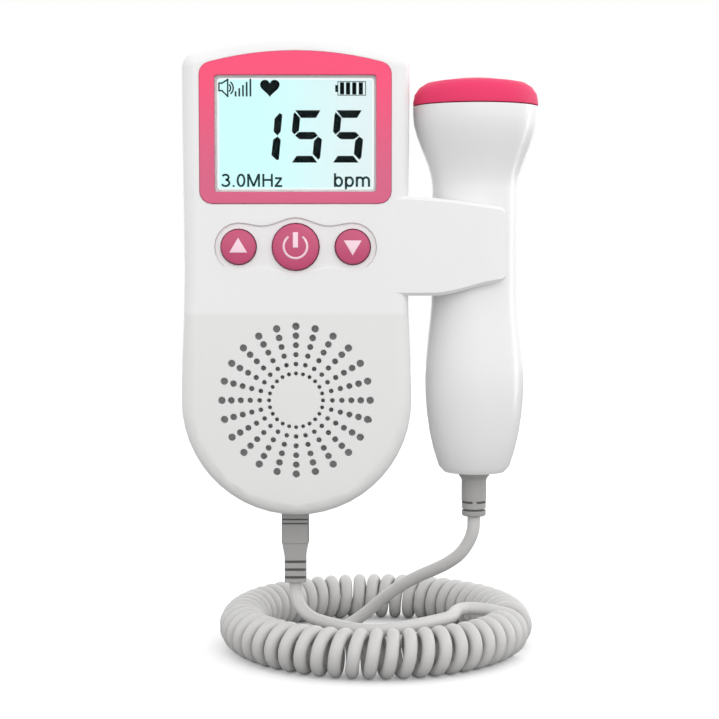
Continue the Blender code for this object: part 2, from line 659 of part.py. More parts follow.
def build_front_shell(frame, finishes):
    seam = SEAM_Y - CLEARANCE / 2
    shell = half_shell("front_shell", FRONT_Y, seam, FRONT_EDGE, FACE_WALL, finishes["white"], frame)
    thin = FACE_WALL - CLEARANCE
    root = [(WAIST_HALF - FRONT_EDGE - ROOT_DEPTH, thin), (WAIST_HALF - FRONT_EDGE + CLEARANCE, thin)]
    combine(shell, "front_arm", clip_arm("front_arm", FRONT_Y, 1, root), "UNION", frame)
    for x, height in screw_places():
        boss = rod("front_boss", BOSS_RADIUS, "Y", FACE_INNER_Y - ROOT_DEPTH, seam)
        combine(shell, "front_boss", boss, "UNION", frame, (x, 0, height))
    for x, height in screw_places():
        pilot = rod("front_pilot", SCREW_SHANK_RADIUS + CLEARANCE, "Y",
                    SCREW_LENGTH * -1 - SCREW_SUNK - CLEARANCE, seam + OVERRUN)
        combine(shell, "front_pilot", pilot, "DIFFERENCE", frame, (x, 0, height))
    seat = prism("bezel_seat", arched_outline(CLEARANCE), "Y", FRONT_Y - OVERRUN, FRONT_Y + BEZEL_SEAT)
    combine(shell, "bezel_seat", seat, "DIFFERENCE", frame)
    view = rounded_rectangle(VIEW_HALF - PANE_LEDGE, VIEW_BOTTOM + PANE_LEDGE, VIEW_TOP - PANE_LEDGE,
                             VIEW_CORNER)
    window = prism("view_cut", view, "Y", FRONT_Y - OVERRUN, FACE_INNER_Y + OVERRUN)
    combine(shell, "view_cut", window, "DIFFERENCE", frame)
    hollow = prism("button_hollow", hollow_outline(), "Y", FRONT_Y - OVERRUN, FRONT_Y + HOLLOW_DEPTH)
    combine(shell, "button_hollow", hollow, "DIFFERENCE", frame)
    for name, x, radius in button_places():
        hole = rod(name + "_hole", radius + CLEARANCE, "Y", FRONT_Y - OVERRUN, FACE_INNER_Y + OVERRUN, 24)
        combine(shell, name + "_hole", hole, "DIFFERENCE", frame, (x, 0, BUTTON_HEIGHT))
    combine(shell, "grille_tool", grille_tool(), "DIFFERENCE", frame)
    combine(shell, "plug_opening", plug_opening(), "DIFFERENCE", frame)
    combine(shell, "jack_opening", jack_opening(), "DIFFERENCE", frame, (0, SEAM_Y, JACK_HEIGHT))


def hook_places():
    return (-HOOK_X, HOOK_X)


def build_rear_shell(frame, finishes):
    """The back half: a battery pocket behind a flush door, four screw bosses and the rear clip arm."""
    seam = SEAM_Y + CLEARANCE / 2
    shell = half_shell("rear_shell", 0, seam, BACK_EDGE, BACK_WALL, finishes["white"], frame)
    root = [(WAIST_HALF - WALL / 2, ARM_THICKNESS - CLEARANCE)]
    combine(shell, "rear_arm", clip_arm("rear_arm", PROBE_Y + SLOT_RADIUS + ARM_THICKNESS, -1, root),
            "UNION", frame)
    for x, height in screw_places():
        boss = rod("rear_boss", BOSS_RADIUS, "Y", seam, ROOT_DEPTH - BACK_WALL)
        combine(shell, "rear_boss", boss, "UNION", frame, (x, 0, height))
    room = HOOK_REACH + HOOK_ROOM
    pocket_block = block("pocket_block", (-DOOR_HALF - POCKET_WALL, DOOR_HALF + POCKET_WALL),
                         (POCKET_Y - POCKET_WALL, ROOT_DEPTH - BACK_WALL),
                         (DOOR_BOTTOM - room - POCKET_WALL, DOOR_TOP + POCKET_WALL))
    combine(shell, "pocket_block", pocket_block, "UNION", frame)
    for x, height in screw_places():
        sink = SCREW_SUNK + SCREW_HEAD_HEIGHT + CLEARANCE
        head = rod("screw_sink", SCREW_HEAD_RADIUS + CLEARANCE, "Y", -sink, OVERRUN)
        combine(shell, "screw_sink", head, "DIFFERENCE", frame, (x, 0, height))
        shank = rod("screw_bore", SCREW_SHANK_RADIUS + CLEARANCE, "Y", seam - OVERRUN, -sink + OVERRUN)
        combine(shell, "screw_bore", shank, "DIFFERENCE", frame, (x, 0, height))
    door_seat = prism("door_seat", rounded_rectangle(DOOR_HALF + CLEARANCE, DOOR_BOTTOM - CLEARANCE,
                                                     DOOR_TOP + CLEARANCE, DOOR_CORNER + CLEARANCE),
                      "Y", -DOOR_THICKNESS - CLEARANCE, OVERRUN)
    combine(shell, "door_seat", door_seat, "DIFFERENCE", frame)
    pocket = prism("pocket", rounded_rectangle(POCKET_HALF, POCKET_BOTTOM, POCKET_TOP, POCKET_CORNER),
                   "Y", POCKET_Y, OVERRUN)
    combine(shell, "pocket", pocket, "DIFFERENCE", frame)
    for x in hook_places():
        half = HOOK_HALF + CLEARANCE
        hook_room = block("hook_room", (x - half, x + half),
                          (-HOOK_DEPTH - HOOK_ROOM, -DOOR_THICKNESS),
                          (DOOR_BOTTOM - room, POCKET_BOTTOM + OVERRUN))
        combine(shell, "hook_room", hook_room, "DIFFERENCE", frame)
    combine(shell, "plug_opening", plug_opening(), "DIFFERENCE", frame)
    combine(shell, "jack_opening", jack_opening(), "DIFFERENCE", frame, (0, SEAM_Y, JACK_HEIGHT))


def build_display(frame, finishes):
    """The pink bezel in its recess, the clear window in the bezel, and the panel with its light behind."""
    proud = FRONT_Y - BEZEL_PROUD
    back = FRONT_Y + BEZEL_SEAT - CLEARANCE
    bezel = add_object("display_bezel", prism("display_bezel", arched_outline(0), "Y", proud, back),
                       finishes["pink"], frame)
    view = prism("bezel_view", rounded_rectangle(VIEW_HALF, VIEW_BOTTOM, VIEW_TOP, VIEW_CORNER), "Y",
                 proud - OVERRUN, back + OVERRUN)
    combine(bezel, "bezel_view", view, "DIFFERENCE", frame)
    pane = rounded_rectangle(VIEW_HALF - CLEARANCE, VIEW_BOTTOM + CLEARANCE, VIEW_TOP - CLEARANCE,
                             VIEW_CORNER - CLEARANCE)
    add_object("display_window", prism("display_window", pane, "Y", FRONT_Y, back),
               finishes["window"], frame)
    glass_x = (-VIEW_HALF - LCD_MARGIN, VIEW_HALF + LCD_MARGIN)
    glass_z = (VIEW_BOTTOM - LCD_MARGIN, VIEW_TOP + LCD_MARGIN)
    add_object("lcd_panel", block("lcd_panel", glass_x, (LCD_Y, LCD_Y + LCD_THICKNESS), glass_z),
               finishes["display"], frame)
    add_object("lcd_backlight",
               block("lcd_backlight", glass_x, (BACKLIGHT_Y, BACKLIGHT_Y + BACKLIGHT_THICKNESS), glass_z),
               finishes["light_guide"], frame)
    board = rounded_rectangle(BOARD_HALF, BOARD_BOTTOM, BOARD_TOP, BOARD_CORNER)
    add_object("main_board", prism("main_board", board, "Y", BOARD_Y, BOARD_Y + BOARD_THICKNESS),
               finishes["board"], frame)


def button_places():
    return (("volume_up_button", -BUTTON_SPACING, VOLUME_RADIUS), ("power_button", 0, POWER_RADIUS),
            ("volume_down_button", BUTTON_SPACING, VOLUME_RADIUS))


def build_buttons(frame, finishes):
    """Domed caps with a flange behind the face, each over the plunger of its switch on the board."""
    top = -BUTTON_PROUD
    flange = FACE_WALL + CLEARANCE
    for name, x, radius in button_places():
        profile = [(0, top - BUTTON_CROWN)]
        for share in (0.45, 0.75, 0.92):
            profile.append((radius * share, top - BUTTON_CROWN * (1 - share ** 2)))
        profile += [(radius, top + BUTTON_CROWN / 2), (radius, flange), (radius + BUTTON_FLANGE, flange),
                    (radius + BUTTON_FLANGE, flange + FLANGE_THICKNESS), (0, flange + FLANGE_THICKNESS)]
        add_object(name, turned(name, profile, "Y", 24), finishes["button"], frame,
                   (x, FRONT_Y, BUTTON_HEIGHT))
        switch = name.replace("button", "switch")
        base = BOARD_Y - CLEARANCE
        body_y = FRONT_Y + flange + FLANGE_THICKNESS + CLEARANCE + BUTTON_TRAVEL + PLUNGER_HEIGHT
        body = add_object(switch, block(switch, (x - SWITCH_HALF, x + SWITCH_HALF), (body_y, base),
                                        (BUTTON_HEIGHT - SWITCH_HALF, BUTTON_HEIGHT + SWITCH_HALF)),
                          finishes["black"], frame)
        plunger = rod(switch + "_plunger", PLUNGER_RADIUS, "Y", body_y - PLUNGER_HEIGHT, body_y + ROOT_DEPTH)
        combine(body, switch + "_plunger", plunger, "UNION", frame, (x, 0, BUTTON_HEIGHT))


def build_speaker(frame, finishes):
    """Dust mesh against the grille, then the basket with its cone, and the magnet at the back."""
    centre = (0, 0, SPEAKER_HEIGHT)
    add_object("speaker_mesh", rod("speaker_mesh", MESH_RADIUS, "Y", LCD_Y, LCD_Y + MESH_THICKNESS, ROUND),
               finishes["cloth"], frame, centre)
    back = BASKET_Y + BASKET_DEPTH
    rim = BASKET_Y + BASKET_RIM
    inner = BASKET_RADIUS - 3 * BASKET_RIM
    basket = [(0, back - BASKET_WALL), (BASKET_BACK, back - BASKET_WALL), (inner, rim), (inner, BASKET_Y),
              (BASKET_RADIUS, BASKET_Y), (BASKET_RADIUS, rim), (BASKET_RADIUS - 2 * BASKET_RIM, rim),
              (BASKET_BACK + BASKET_WALL, back), (0, back)]
    add_object("speaker_basket", turned("speaker_basket", basket, "Y"), finishes["black"], frame, centre)
    mouth = inner - 2 * CLEARANCE
    cone = [(0, BASKET_Y + CONE_DEPTH - BASKET_RIM), (VOICE_RADIUS, BASKET_Y + CONE_DEPTH - CONE_WALL),
            (mouth, BASKET_Y + CLEARANCE), (mouth, BASKET_Y + CLEARANCE + CONE_WALL),
            (VOICE_RADIUS, BASKET_Y + CONE_DEPTH), (0, BASKET_Y + CONE_DEPTH - BASKET_RIM + CONE_WALL)]
    add_object("speaker_cone", turned("speaker_cone", cone, "Y"), finishes["paper"], frame, centre)
    low = back + CLEARANCE
    add_object("speaker_magnet", rod("speaker_magnet", MAGNET_RADIUS, "Y", low, low + MAGNET_THICKNESS, 24),
               finishes["steel"], frame, centre)


def spring_points(turns, steps):
    """A conical contact spring, wide at its plate and narrow at the cell."""
    points = []
    count = turns * steps
    for k in range(count + 1):
        share = k / count
        angle = 2 * math.pi * k / steps
        radius = between(SPRING_WIDE, SPRING_NARROW, share)
        height = between(SPRING_WIRE, SPRING_LENGTH - SPRING_WIRE, share)
        points.append((radius * math.cos(angle), radius * math.sin(angle), height))
    return points


def tube(name, points, diameter, resolution):
    """A cord or wire along its points, with flat ends."""
    curve = bpy.data.curves.new(name, "CURVE")
    curve.dimensions = "3D"
    curve.bevel_depth = diameter / 2
    curve.bevel_resolution = resolution
    curve.use_fill_caps = True
    line = curve.splines.new("POLY")
    line.points.add(len(points) - 1)
    for corner, point in zip(line.points, points):
        corner.co = (*point, 1.0)
    return curve


def build_battery(frame, finishes):
    """Two cells side by side, turned opposite ways, each between a contact spring and a contact plate."""
    shoulder = CELL_LENGTH - NUB_LENGTH
    profile = [(0, 0), (CELL_RADIUS - CELL_BEVEL, 0), (CELL_RADIUS, CELL_BEVEL),
               (CELL_RADIUS, shoulder - CELL_BEVEL), (CELL_RADIUS - CELL_BEVEL, shoulder),
               (NUB_RADIUS, shoulder), (NUB_RADIUS, CELL_LENGTH), (0, CELL_LENGTH)]
    for side, x, turn in (("left", -CELL_X, 0), ("right", CELL_X, math.pi)):
        upright = turn == 0
        low_plate = POCKET_BOTTOM + CLEARANCE
        high_plate = POCKET_TOP - CLEARANCE - PLATE_THICKNESS
        for level, z in (("lower", low_plate), ("upper", high_plate)):
            name = f"contact_plate_{level}_{side}"
            plate = block(name, (x - PLATE_HALF, x + PLATE_HALF), (CELL_Y - PLATE_HALF, CELL_Y + PLATE_HALF),
                          (z, z + PLATE_THICKNESS))
            add_object(name, plate, finishes["steel"], frame)
        spring_z = low_plate + PLATE_THICKNESS + CLEARANCE if upright else high_plate - CLEARANCE
        spring_name = f"contact_spring_{side}"
        coil = tube(spring_name, spring_points(SPRING_TURNS, SPRING_STEPS), 2 * SPRING_WIRE, 0)
        spring = add_object(spring_name, coil, finishes["steel"], frame, (x, CELL_Y, spring_z))
        spring.rotation_euler = (turn, 0, 0)
        cell_z = spring_z + SPRING_LENGTH if upright else spring_z - SPRING_LENGTH
        cell_name = f"battery_cell_{side}"
        cell = add_object(cell_name, turned(cell_name, profile, "Z", 24), finishes["cell"], frame,
                          (x, CELL_Y, cell_z))
        cell.rotation_euler = (turn, 0, 0)


def build_door(frame, finishes):
    """The battery door, flush with the back, hooked under its lower edge where it swings."""
    hinge = add_empty("door_hinge", frame, (0, 0, DOOR_BOTTOM))
    outline = rounded_rectangle(DOOR_HALF, 0, DOOR_TOP - DOOR_BOTTOM, DOOR_CORNER)
    door = add_object("battery_door", prism("battery_door", outline, "Y", -DOOR_THICKNESS, 0),
                      finishes["white"], hinge)
    for x in hook_places():
        across = (x - HOOK_HALF, x + HOOK_HALF)
        hook = [(-DOOR_THICKNESS + HOOK_LEG / 2, HOOK_LEG), (-DOOR_THICKNESS + HOOK_LEG / 2, CLEARANCE),
                (HOOK_THICKNESS - HOOK_DEPTH, CLEARANCE), (HOOK_THICKNESS - HOOK_DEPTH, -HOOK_REACH),
                (-HOOK_DEPTH, -HOOK_REACH), (-HOOK_DEPTH, HOOK_LEG)]
        combine(door, "door_hook", prism("door_hook", hook, "X", *across), "UNION", hinge)
    for k in range(GRIP_GROOVES):
        z = DOOR_TOP - DOOR_BOTTOM - GRIP_FROM_TOP - GRIP_PITCH * k
        groove = block("grip_groove", (-GRIP_HALF, GRIP_HALF), (-GRIP_DEPTH, OVERRUN), (z - GRIP_HEIGHT, z))
        combine(door, "grip_groove", groove, "DIFFERENCE", hinge)


def build_screws(frame, finishes):
    for number, (x, height) in enumerate(screw_places(), 1):
        name = f"case_screw_{number}"
        seat = -SCREW_SUNK - SCREW_HEAD_HEIGHT
        profile = [(0, -SCREW_SUNK), (SCREW_HEAD_RADIUS * 0.8, -SCREW_SUNK),
                   (SCREW_HEAD_RADIUS, -SCREW_SUNK - SCREW_HEAD_HEIGHT / 3), (SCREW_HEAD_RADIUS, seat),
                   (SCREW_SHANK_RADIUS, seat), (SCREW_SHANK_RADIUS, -SCREW_LENGTH), (0, -SCREW_LENGTH)]
        screw = add_object(name, turned(name, profile, "Y", SMALL_ROUND), finishes["steel"], frame,
                           (x, 0, height))
        slots = ((DRIVE_HALF, DRIVE_SLOT), (DRIVE_SLOT, DRIVE_HALF))
        for half_x, half_z in slots:
            slot = block("drive_slot", (-half_x, half_x), (-SCREW_SUNK - DRIVE_DEPTH, OVERRUN),
                         (-half_z, half_z))
            combine(screw, "drive_slot", slot, "DIFFERENCE", frame, (x, 0, height))


def build_jack(frame, finishes):
    """The headphone jack: a tube with a blind bore, and a flange behind the side wall."""
    outer = -SHOULDER_HALF
    flange = outer + WALL + CLEARANCE
    end = outer + JACK_LENGTH
    profile = [(0, end), (JACK_FLANGE, end), (JACK_FLANGE, end - JACK_FLANGE_THICKNESS)]
    profile += [(JACK_FLANGE, flange), (JACK_RADIUS, flange), (JACK_RADIUS, outer), (JACK_BORE, outer),
                (JACK_BORE, end - JACK_FLOOR), (0, end - JACK_FLOOR)]
    add_object("headphone_jack", turned("headphone_jack", profile, "X", SMALL_ROUND), finishes["black"],
               frame, (0, SEAM_Y, JACK_HEIGHT))


def probe_radius(height):
    """The handle's radius: round tail, grip, waist and the flared head."""
    if height < GRIP_MIDDLE:
        return GRIP_RADIUS * math.sqrt(1 - ((GRIP_MIDDLE - height) / TAIL_SPAN) ** 2)
    if height < WAIST_LOW:
        return between(GRIP_RADIUS, WAIST_RADIUS,
                       smooth_step((height - GRIP_MIDDLE) / (WAIST_LOW - GRIP_MIDDLE)))
    return between(WAIST_RADIUS, HEAD_RADIUS, smooth_step((height - WAIST_HIGH) / (HEAD_LOW - WAIST_HIGH)))


def spread(low, high, steps):
    return [between(low, high, k / steps) for k in range(steps + 1)]


def build_probe(frame, finishes):
    """The handle as an open cup, the pink cap with its spigot in the cup's mouth, and what they hold."""
    axis = add_empty("probe_axis", frame, (PROBE_X, PROBE_Y, 0))
    rim = CAP_EDGE - CLEARANCE
    heights = spread(TAIL_EDGE, GRIP_MIDDLE, 5) + spread(GRIP_MIDDLE, WAIST_LOW, 5)[1:]
    heights += spread(WAIST_HIGH, HEAD_LOW, 7) + [rim]
    outside = [(0, PROBE_BOTTOM), (TAIL_FLAT, PROBE_BOTTOM)]
    outside += [(probe_radius(height), height) for height in heights]
    inside_heights = [rim, HEAD_LOW, *spread(HEAD_LOW, WAIST_HIGH, 3)[1:], WAIST_LOW, GRIP_MIDDLE,
                      PROBE_BOTTOM + PROBE_FLOOR]
    inside = [(probe_radius(height) - PROBE_WALL, height) for height in inside_heights]
    inside.append((0, inside_heights[-1]))
    add_object("probe_handle", turned("probe_handle", outside + inside), finishes["white"], axis)

    dome = CAP_TOP - CAP_DOME_DROP
    crown = HEAD_RADIUS - CAP_RIM
    cap = [(0, CAP_TOP), (crown / 2, CAP_TOP - CAP_DOME_DROP / 4)]
    for k in range(5):
        angle = math.radians(90 * k / 4)
        cap.append((crown + CAP_RIM * math.sin(angle), between(CAP_SIDE_TOP, dome, math.cos(angle))))
    ceiling = CAP_TOP - CAP_WALL
    inner = SPIGOT_RADIUS - SPIGOT_WALL
    cap += [(HEAD_RADIUS, CAP_EDGE), (SPIGOT_RADIUS, CAP_EDGE), (SPIGOT_RADIUS, CAP_EDGE - SPIGOT_LENGTH),
            (inner, CAP_EDGE - SPIGOT_LENGTH), (inner, ceiling - PROBE_WALL), (crown, ceiling), (0, ceiling)]
    add_object("probe_cap", turned("probe_cap", cap), finishes["pink"], axis)

    top = ceiling - CLEARANCE
    for name, start in (("crystal_left", 90), ("crystal_right", 270)):
        shift = CRYSTAL_GAP / 2 * math.cos(math.radians(start + 90))
        half_disc = arc((shift, 0), CRYSTAL_RADIUS, start, start + 180, 12)
        add_object(name, prism(name, half_disc, "Z", top - CRYSTAL_THICKNESS, top), finishes["ceramic"], axis)
    top -= CRYSTAL_THICKNESS + CLEARANCE
    add_object("crystal_backing", rod("crystal_backing", BACKING_RADIUS, "Z", top - BACKING_THICKNESS, top, 24),
               finishes["resin"], axis)
    top -= BACKING_THICKNESS + CLEARANCE
    add_object("probe_board", rod("probe_board", BACKING_RADIUS, "Z", top - PROBE_BOARD_THICKNESS, top, 24),
               finishes["board"], axis)

    top = PROBE_BOTTOM - CLEARANCE
    end = top - RELIEF_LENGTH
    relief = [(0, top), (COLLAR_RADIUS, top), (COLLAR_RADIUS, top - COLLAR_LENGTH),
              (RELIEF_TOP_RADIUS, top - COLLAR_LENGTH)]
    for k in range(RELIEF_RIBS, 0, -1):
        z = end + RIB_PITCH * k
        relief += [(RELIEF_LOW_RADIUS, z), (RELIEF_LOW_RADIUS - RIB_DEPTH, z),
                   (RELIEF_LOW_RADIUS - RIB_DEPTH, z - RIB_GROOVE), (RELIEF_LOW_RADIUS, z - RIB_GROOVE)]
    relief += [(RELIEF_LOW_RADIUS, end), (0, end)]
    add_object("probe_strain_relief", turned("probe_strain_relief", relief, "Z", SMALL_ROUND), finishes["grey"], axis)


def rectangle_ring(half_x, half_y, corner, z):
    outline = rounded_rectangle(half_x, -half_y, half_y, corner, 2)
    return [(x, y, z) for x, y in outline]


def build_plug(frame, finishes):
    """The modular plug with its moulded boot, and the socket that it sits in."""
    axis = add_empty("plug_axis", frame, (PLUG_X, SEAM_Y, 0))
    body = loft("plug_body", [rectangle_ring(PLUG_HALF, PLUG_DEPTH_HALF, PLUG_CORNER, z)
                              for z in (PLUG_BOTTOM, PLUG_INSERTED)])
    plug = add_object("plug_body", body, finishes["grey"], axis)
    latch = [(PLUG_DEPTH_HALF - ROOT_DEPTH, PLUG_INSERTED), (PLUG_DEPTH_HALF, PLUG_INSERTED),
             (PLUG_DEPTH_HALF + LATCH_RISE, 0), (PLUG_DEPTH_HALF + LATCH_RISE, PLUG_BOTTOM / 2),
             (PLUG_DEPTH_HALF, PLUG_BOTTOM), (PLUG_DEPTH_HALF - ROOT_DEPTH, PLUG_BOTTOM)]
    combine(plug, "plug_latch", prism("plug_latch", latch, "X", -LATCH_HALF, LATCH_HALF), "UNION", axis)
    for k in range(2):
        z = PLUG_BAND_TOP - PLUG_BAND_PITCH * k
        groove = block("plug_band", (-PLUG_HALF - OVERRUN, PLUG_HALF + OVERRUN),
                       (-PLUG_DEPTH_HALF - OVERRUN, PLUG_BAND_DEPTH - PLUG_DEPTH_HALF),
                       (z - PLUG_BAND_HEIGHT, z))
        combine(plug, "plug_band", groove, "DIFFERENCE", axis)
    span = CONTACT_PITCH * (CONTACT_COUNT - 1) / 2 + CONTACT_HALF
    slot = block("contact_slot", (-span - CLEARANCE, span + CLEARANCE),
                 (-PLUG_DEPTH_HALF - OVERRUN, CONTACT_DEPTH + CONTACT_BAR + CLEARANCE - PLUG_DEPTH_HALF),
                 (PLUG_INSERTED - CONTACT_LENGTH - 2 * CLEARANCE, PLUG_INSERTED + OVERRUN))
    combine(plug, "contact_slot", slot, "DIFFERENCE", axis)
    build_contacts(axis, finishes)

    boot_top = PLUG_BOTTOM - CLEARANCE
    levels = ((boot_top, BOOT_TOP_HALF, PLUG_DEPTH_HALF), (BOOT_WAIST, BOOT_LOW_HALF, BOOT_LOW_HALF),
              (BOOT_BOTTOM, BOOT_LOW_HALF, BOOT_LOW_HALF))
    boot = add_object("plug_boot", loft("plug_boot", [rectangle_ring(half_x, half_y, PLUG_CORNER, z)
                                                      for z, half_x, half_y in levels]),
                      finishes["grey"], axis)
    for k in range(BOOT_SLOTS):
        z = BOOT_SLOT_TOP - BOOT_SLOT_PITCH * k
        for side in (-1, 1):
            y = (side * (BOOT_LOW_HALF - BOOT_SLOT_DEPTH), side * (BOOT_LOW_HALF + OVERRUN))
            slot = block("boot_slot", (-BOOT_LOW_HALF - OVERRUN, BOOT_LOW_HALF + OVERRUN),
                         (min(y), max(y)), (z - BOOT_SLOT_HEIGHT, z))
            combine(boot, "boot_slot", slot, "DIFFERENCE", axis)

    half = PLUG_HALF + CLEARANCE + SOCKET_WALL
    depth = PLUG_DEPTH_HALF + LATCH_RISE + CLEARANCE + SOCKET_WALL
    socket = add_object("probe_socket", block("probe_socket", (-half, half), (-depth, depth),
                                              (SOCKET_BOTTOM, SOCKET_TOP)),
                        finishes["black"], axis)
    room = block("socket_room", (SOCKET_WALL - half, half - SOCKET_WALL),
                 (SOCKET_WALL - depth, depth - SOCKET_WALL),
                 (SOCKET_BOTTOM - OVERRUN, PLUG_INSERTED + CLEARANCE))
    combine(socket, "socket_room", room, "DIFFERENCE", axis)


def build_contacts(axis, finishes):
    """Four gold blades on one strip, let into the plug's front face."""
    strip_y = CONTACT_DEPTH - PLUG_DEPTH_HALF
    span = CONTACT_PITCH * (CONTACT_COUNT - 1) / 2 + CONTACT_HALF
    low = PLUG_INSERTED - CONTACT_LENGTH - CLEARANCE
    high = PLUG_INSERTED - CLEARANCE
    outline = [(-span, strip_y + CONTACT_BAR), (span, strip_y + CONTACT_BAR)]
    for k in reversed(range(CONTACT_COUNT)):
        x = CONTACT_PITCH * (k - (CONTACT_COUNT - 1) / 2)
        outline += [(x + CONTACT_HALF, strip_y), (x + CONTACT_HALF, -PLUG_DEPTH_HALF),
                    (x - CONTACT_HALF, -PLUG_DEPTH_HALF), (x - CONTACT_HALF, strip_y)]
    add_object("plug_contacts", prism("plug_contacts", outline, "Z", low, high), finishes["gold"], axis)


def coil_point(share):
    """The middle of the cord along the curls. They wind round a ring, clockwise seen from above."""
    curl = math.radians(CURL_START - CURL_TURN * share)
    turn = math.radians(RING_START - RING_TURN * share)
    radius = RING_RADIUS + CURL_RADIUS * math.cos(curl)
    height = FLOOR_HEIGHT + CURL_DIAMETER / 2 + CURL_RADIUS * math.sin(curl)
    return Vector((RING_X + radius * math.cos(turn), RING_Y + radius * math.sin(turn), height))


def coil_line():
    """The curls, with a straight run of one diameter at each end."""
    steps = round(CURL_TURN / 360 * CURL_POINTS)
    points = [coil_point(k / steps) for k in range(steps + 1)]
    tiny = 1 / steps / ROUTE_STEPS
    ends = []
    for share, inner in ((0, tiny), (1, 1 - tiny)):
        away = (coil_point(share) - coil_point(inner)).normalized()
        ends.append((coil_point(share) + away * CORD_DIAMETER, away))
    return [ends[0][0]] + points + [ends[1][0]], ends


def least_coil_gap(points):
    """The least room between one curl and the next, from centre to centre less the cord."""
    line = np.array([tuple(point) for point in points])
    least = 1.0
    for k in range(len(line) - CURL_POINTS):
        ahead = line[k + CURL_POINTS // 2:k + 3 * CURL_POINTS]
        least = min(least, float(np.linalg.norm(ahead - line[k], axis=1).min()))
    return least - CORD_DIAMETER


def lead_line(start, start_away, route, end, end_away):
    """A smooth line through the route's points, with a short straight run at each end."""
    run = CORD_DIAMETER * LEAD_RUN_SHARE
    corners = [start, start + start_away * run] + [Vector(point) for point in route] + [end + end_away * run, end]
    last = len(corners) - 2
    slopes = [None] + [(corners[k + 1] - corners[k - 1]) / 2 for k in range(1, last + 1)]
    slopes[1] = start_away * (corners[2] - corners[1]).length
    slopes[last] = -end_away * (corners[last] - corners[last - 1]).length
    dense = []
    for k in range(1, last):
        for step in range(ROUTE_STEPS):
            t = step / ROUTE_STEPS
            dense.append((2 * t ** 3 - 3 * t ** 2 + 1) * corners[k] + (t ** 3 - 2 * t ** 2 + t) * slopes[k]
                         + (3 * t ** 2 - 2 * t ** 3) * corners[k + 1] + (t ** 3 - t ** 2) * slopes[k + 1])
    dense.append(corners[last])
    line = np.array([tuple(point) for point in dense])
    lengths = np.concatenate(([0], np.cumsum(np.linalg.norm(np.diff(line, axis=0), axis=1))))
    count = round(lengths[-1] / (CORD_DIAMETER * LEAD_STEP_SHARE))
    even = np.linspace(0, lengths[-1], count + 1)
    spaced = [Vector([np.interp(at, lengths, line[:, axis]) for axis in range(3)]) for at in even]
    return [start] + spaced + [end]


def build_cord(frame, finishes):
    """The curly cord as one coil, with a lead to the plug and a lead to the probe."""
    points, ends = coil_line()
    print(f"least gap between curls: {least_coil_gap(points) * 1000:.2f} mm")
    add_object("cord_coil", tube("cord_coil", points, CORD_DIAMETER, 1), finishes["cord"], frame)
    down = Vector((0, 0, -1))
    relief_end = PROBE_BOTTOM - CLEARANCE - RELIEF_LENGTH
    starts = (("cord_lead_unit", (PLUG_X, SEAM_Y, BOOT_BOTTOM), UNIT_ROUTE),
              ("cord_lead_probe", (PROBE_X, PROBE_Y, relief_end), PROBE_ROUTE))
    for (name, start, route), (end, away) in zip(starts, ends):
        line = lead_line(Vector(start) + down * CLEARANCE, down, route, end + away * CLEARANCE, away)
        add_object(name, tube(name, line, CORD_DIAMETER, 2), finishes["cord"], frame)


def build_all():
    clear_scene()
    finishes = make_finishes()
    frame = add_empty("unit_frame", None, (0, 0, -MOUNT_HEIGHT))
    build_front_shell(frame, finishes)
    build_rear_shell(frame, finishes)
    build_display(frame, finishes)
    build_buttons(frame, finishes)
    build_speaker(frame, finishes)
    build_battery(frame, finishes)
    build_door(frame, finishes)
    build_screws(frame, finishes)
    build_jack(frame, finishes)
    build_probe(frame, finishes)
    build_plug(frame, finishes)
    build_cord(frame, finishes)
    bpy.context.view_layer.update()


build_all()
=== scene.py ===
# %% [markdown]
# # A pocket fetal doppler
#
# The object is a slim white unit with a lit display, three pink buttons and a speaker grille. Its probe
# sits in a clip at the side, and a curly cord joins the two. The solids come packed from the CAD model,
# which also says which piece moves with which. This lesson keeps the solids that are already right, and
# spends its effort on what a viewer sees first: finishes, the display, the signs on the buttons and the
# cord.

# %% Load the frame
import json
import math

import bmesh
import bpy
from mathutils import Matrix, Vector

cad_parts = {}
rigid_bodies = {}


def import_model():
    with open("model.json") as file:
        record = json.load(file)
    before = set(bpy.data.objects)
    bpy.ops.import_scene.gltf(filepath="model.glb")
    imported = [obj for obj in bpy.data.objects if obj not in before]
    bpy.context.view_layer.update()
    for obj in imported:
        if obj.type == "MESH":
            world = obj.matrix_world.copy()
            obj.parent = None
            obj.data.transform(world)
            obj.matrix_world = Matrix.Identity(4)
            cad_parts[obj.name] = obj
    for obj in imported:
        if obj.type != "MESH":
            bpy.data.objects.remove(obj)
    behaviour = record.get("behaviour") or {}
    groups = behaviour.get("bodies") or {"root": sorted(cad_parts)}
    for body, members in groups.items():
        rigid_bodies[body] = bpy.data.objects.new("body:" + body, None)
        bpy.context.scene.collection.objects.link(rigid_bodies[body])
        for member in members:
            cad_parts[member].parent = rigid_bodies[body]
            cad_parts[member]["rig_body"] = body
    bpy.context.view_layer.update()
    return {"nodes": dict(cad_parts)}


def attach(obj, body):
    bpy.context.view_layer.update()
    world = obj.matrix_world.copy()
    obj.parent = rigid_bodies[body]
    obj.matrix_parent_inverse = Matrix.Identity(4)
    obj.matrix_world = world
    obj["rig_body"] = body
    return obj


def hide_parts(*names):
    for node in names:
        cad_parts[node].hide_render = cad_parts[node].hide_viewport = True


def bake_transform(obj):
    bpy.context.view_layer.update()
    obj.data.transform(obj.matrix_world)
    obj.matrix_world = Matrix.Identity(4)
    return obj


MM = 0.001
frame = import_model()
nodes = frame["nodes"]

# %% [markdown]
# Sizes on the real object are easiest to think of in millimetres, counted from the lower end of the unit,
# its flat back and its centre line. The frame's zero lies on the back, 108 mm above the lower end, so one
# small function turns the first way of counting into the second.

# %% Heights above the unit's lower end
MOUNT_HEIGHT = 108.0
FRONT = -34.0
FLOOR = -42.2


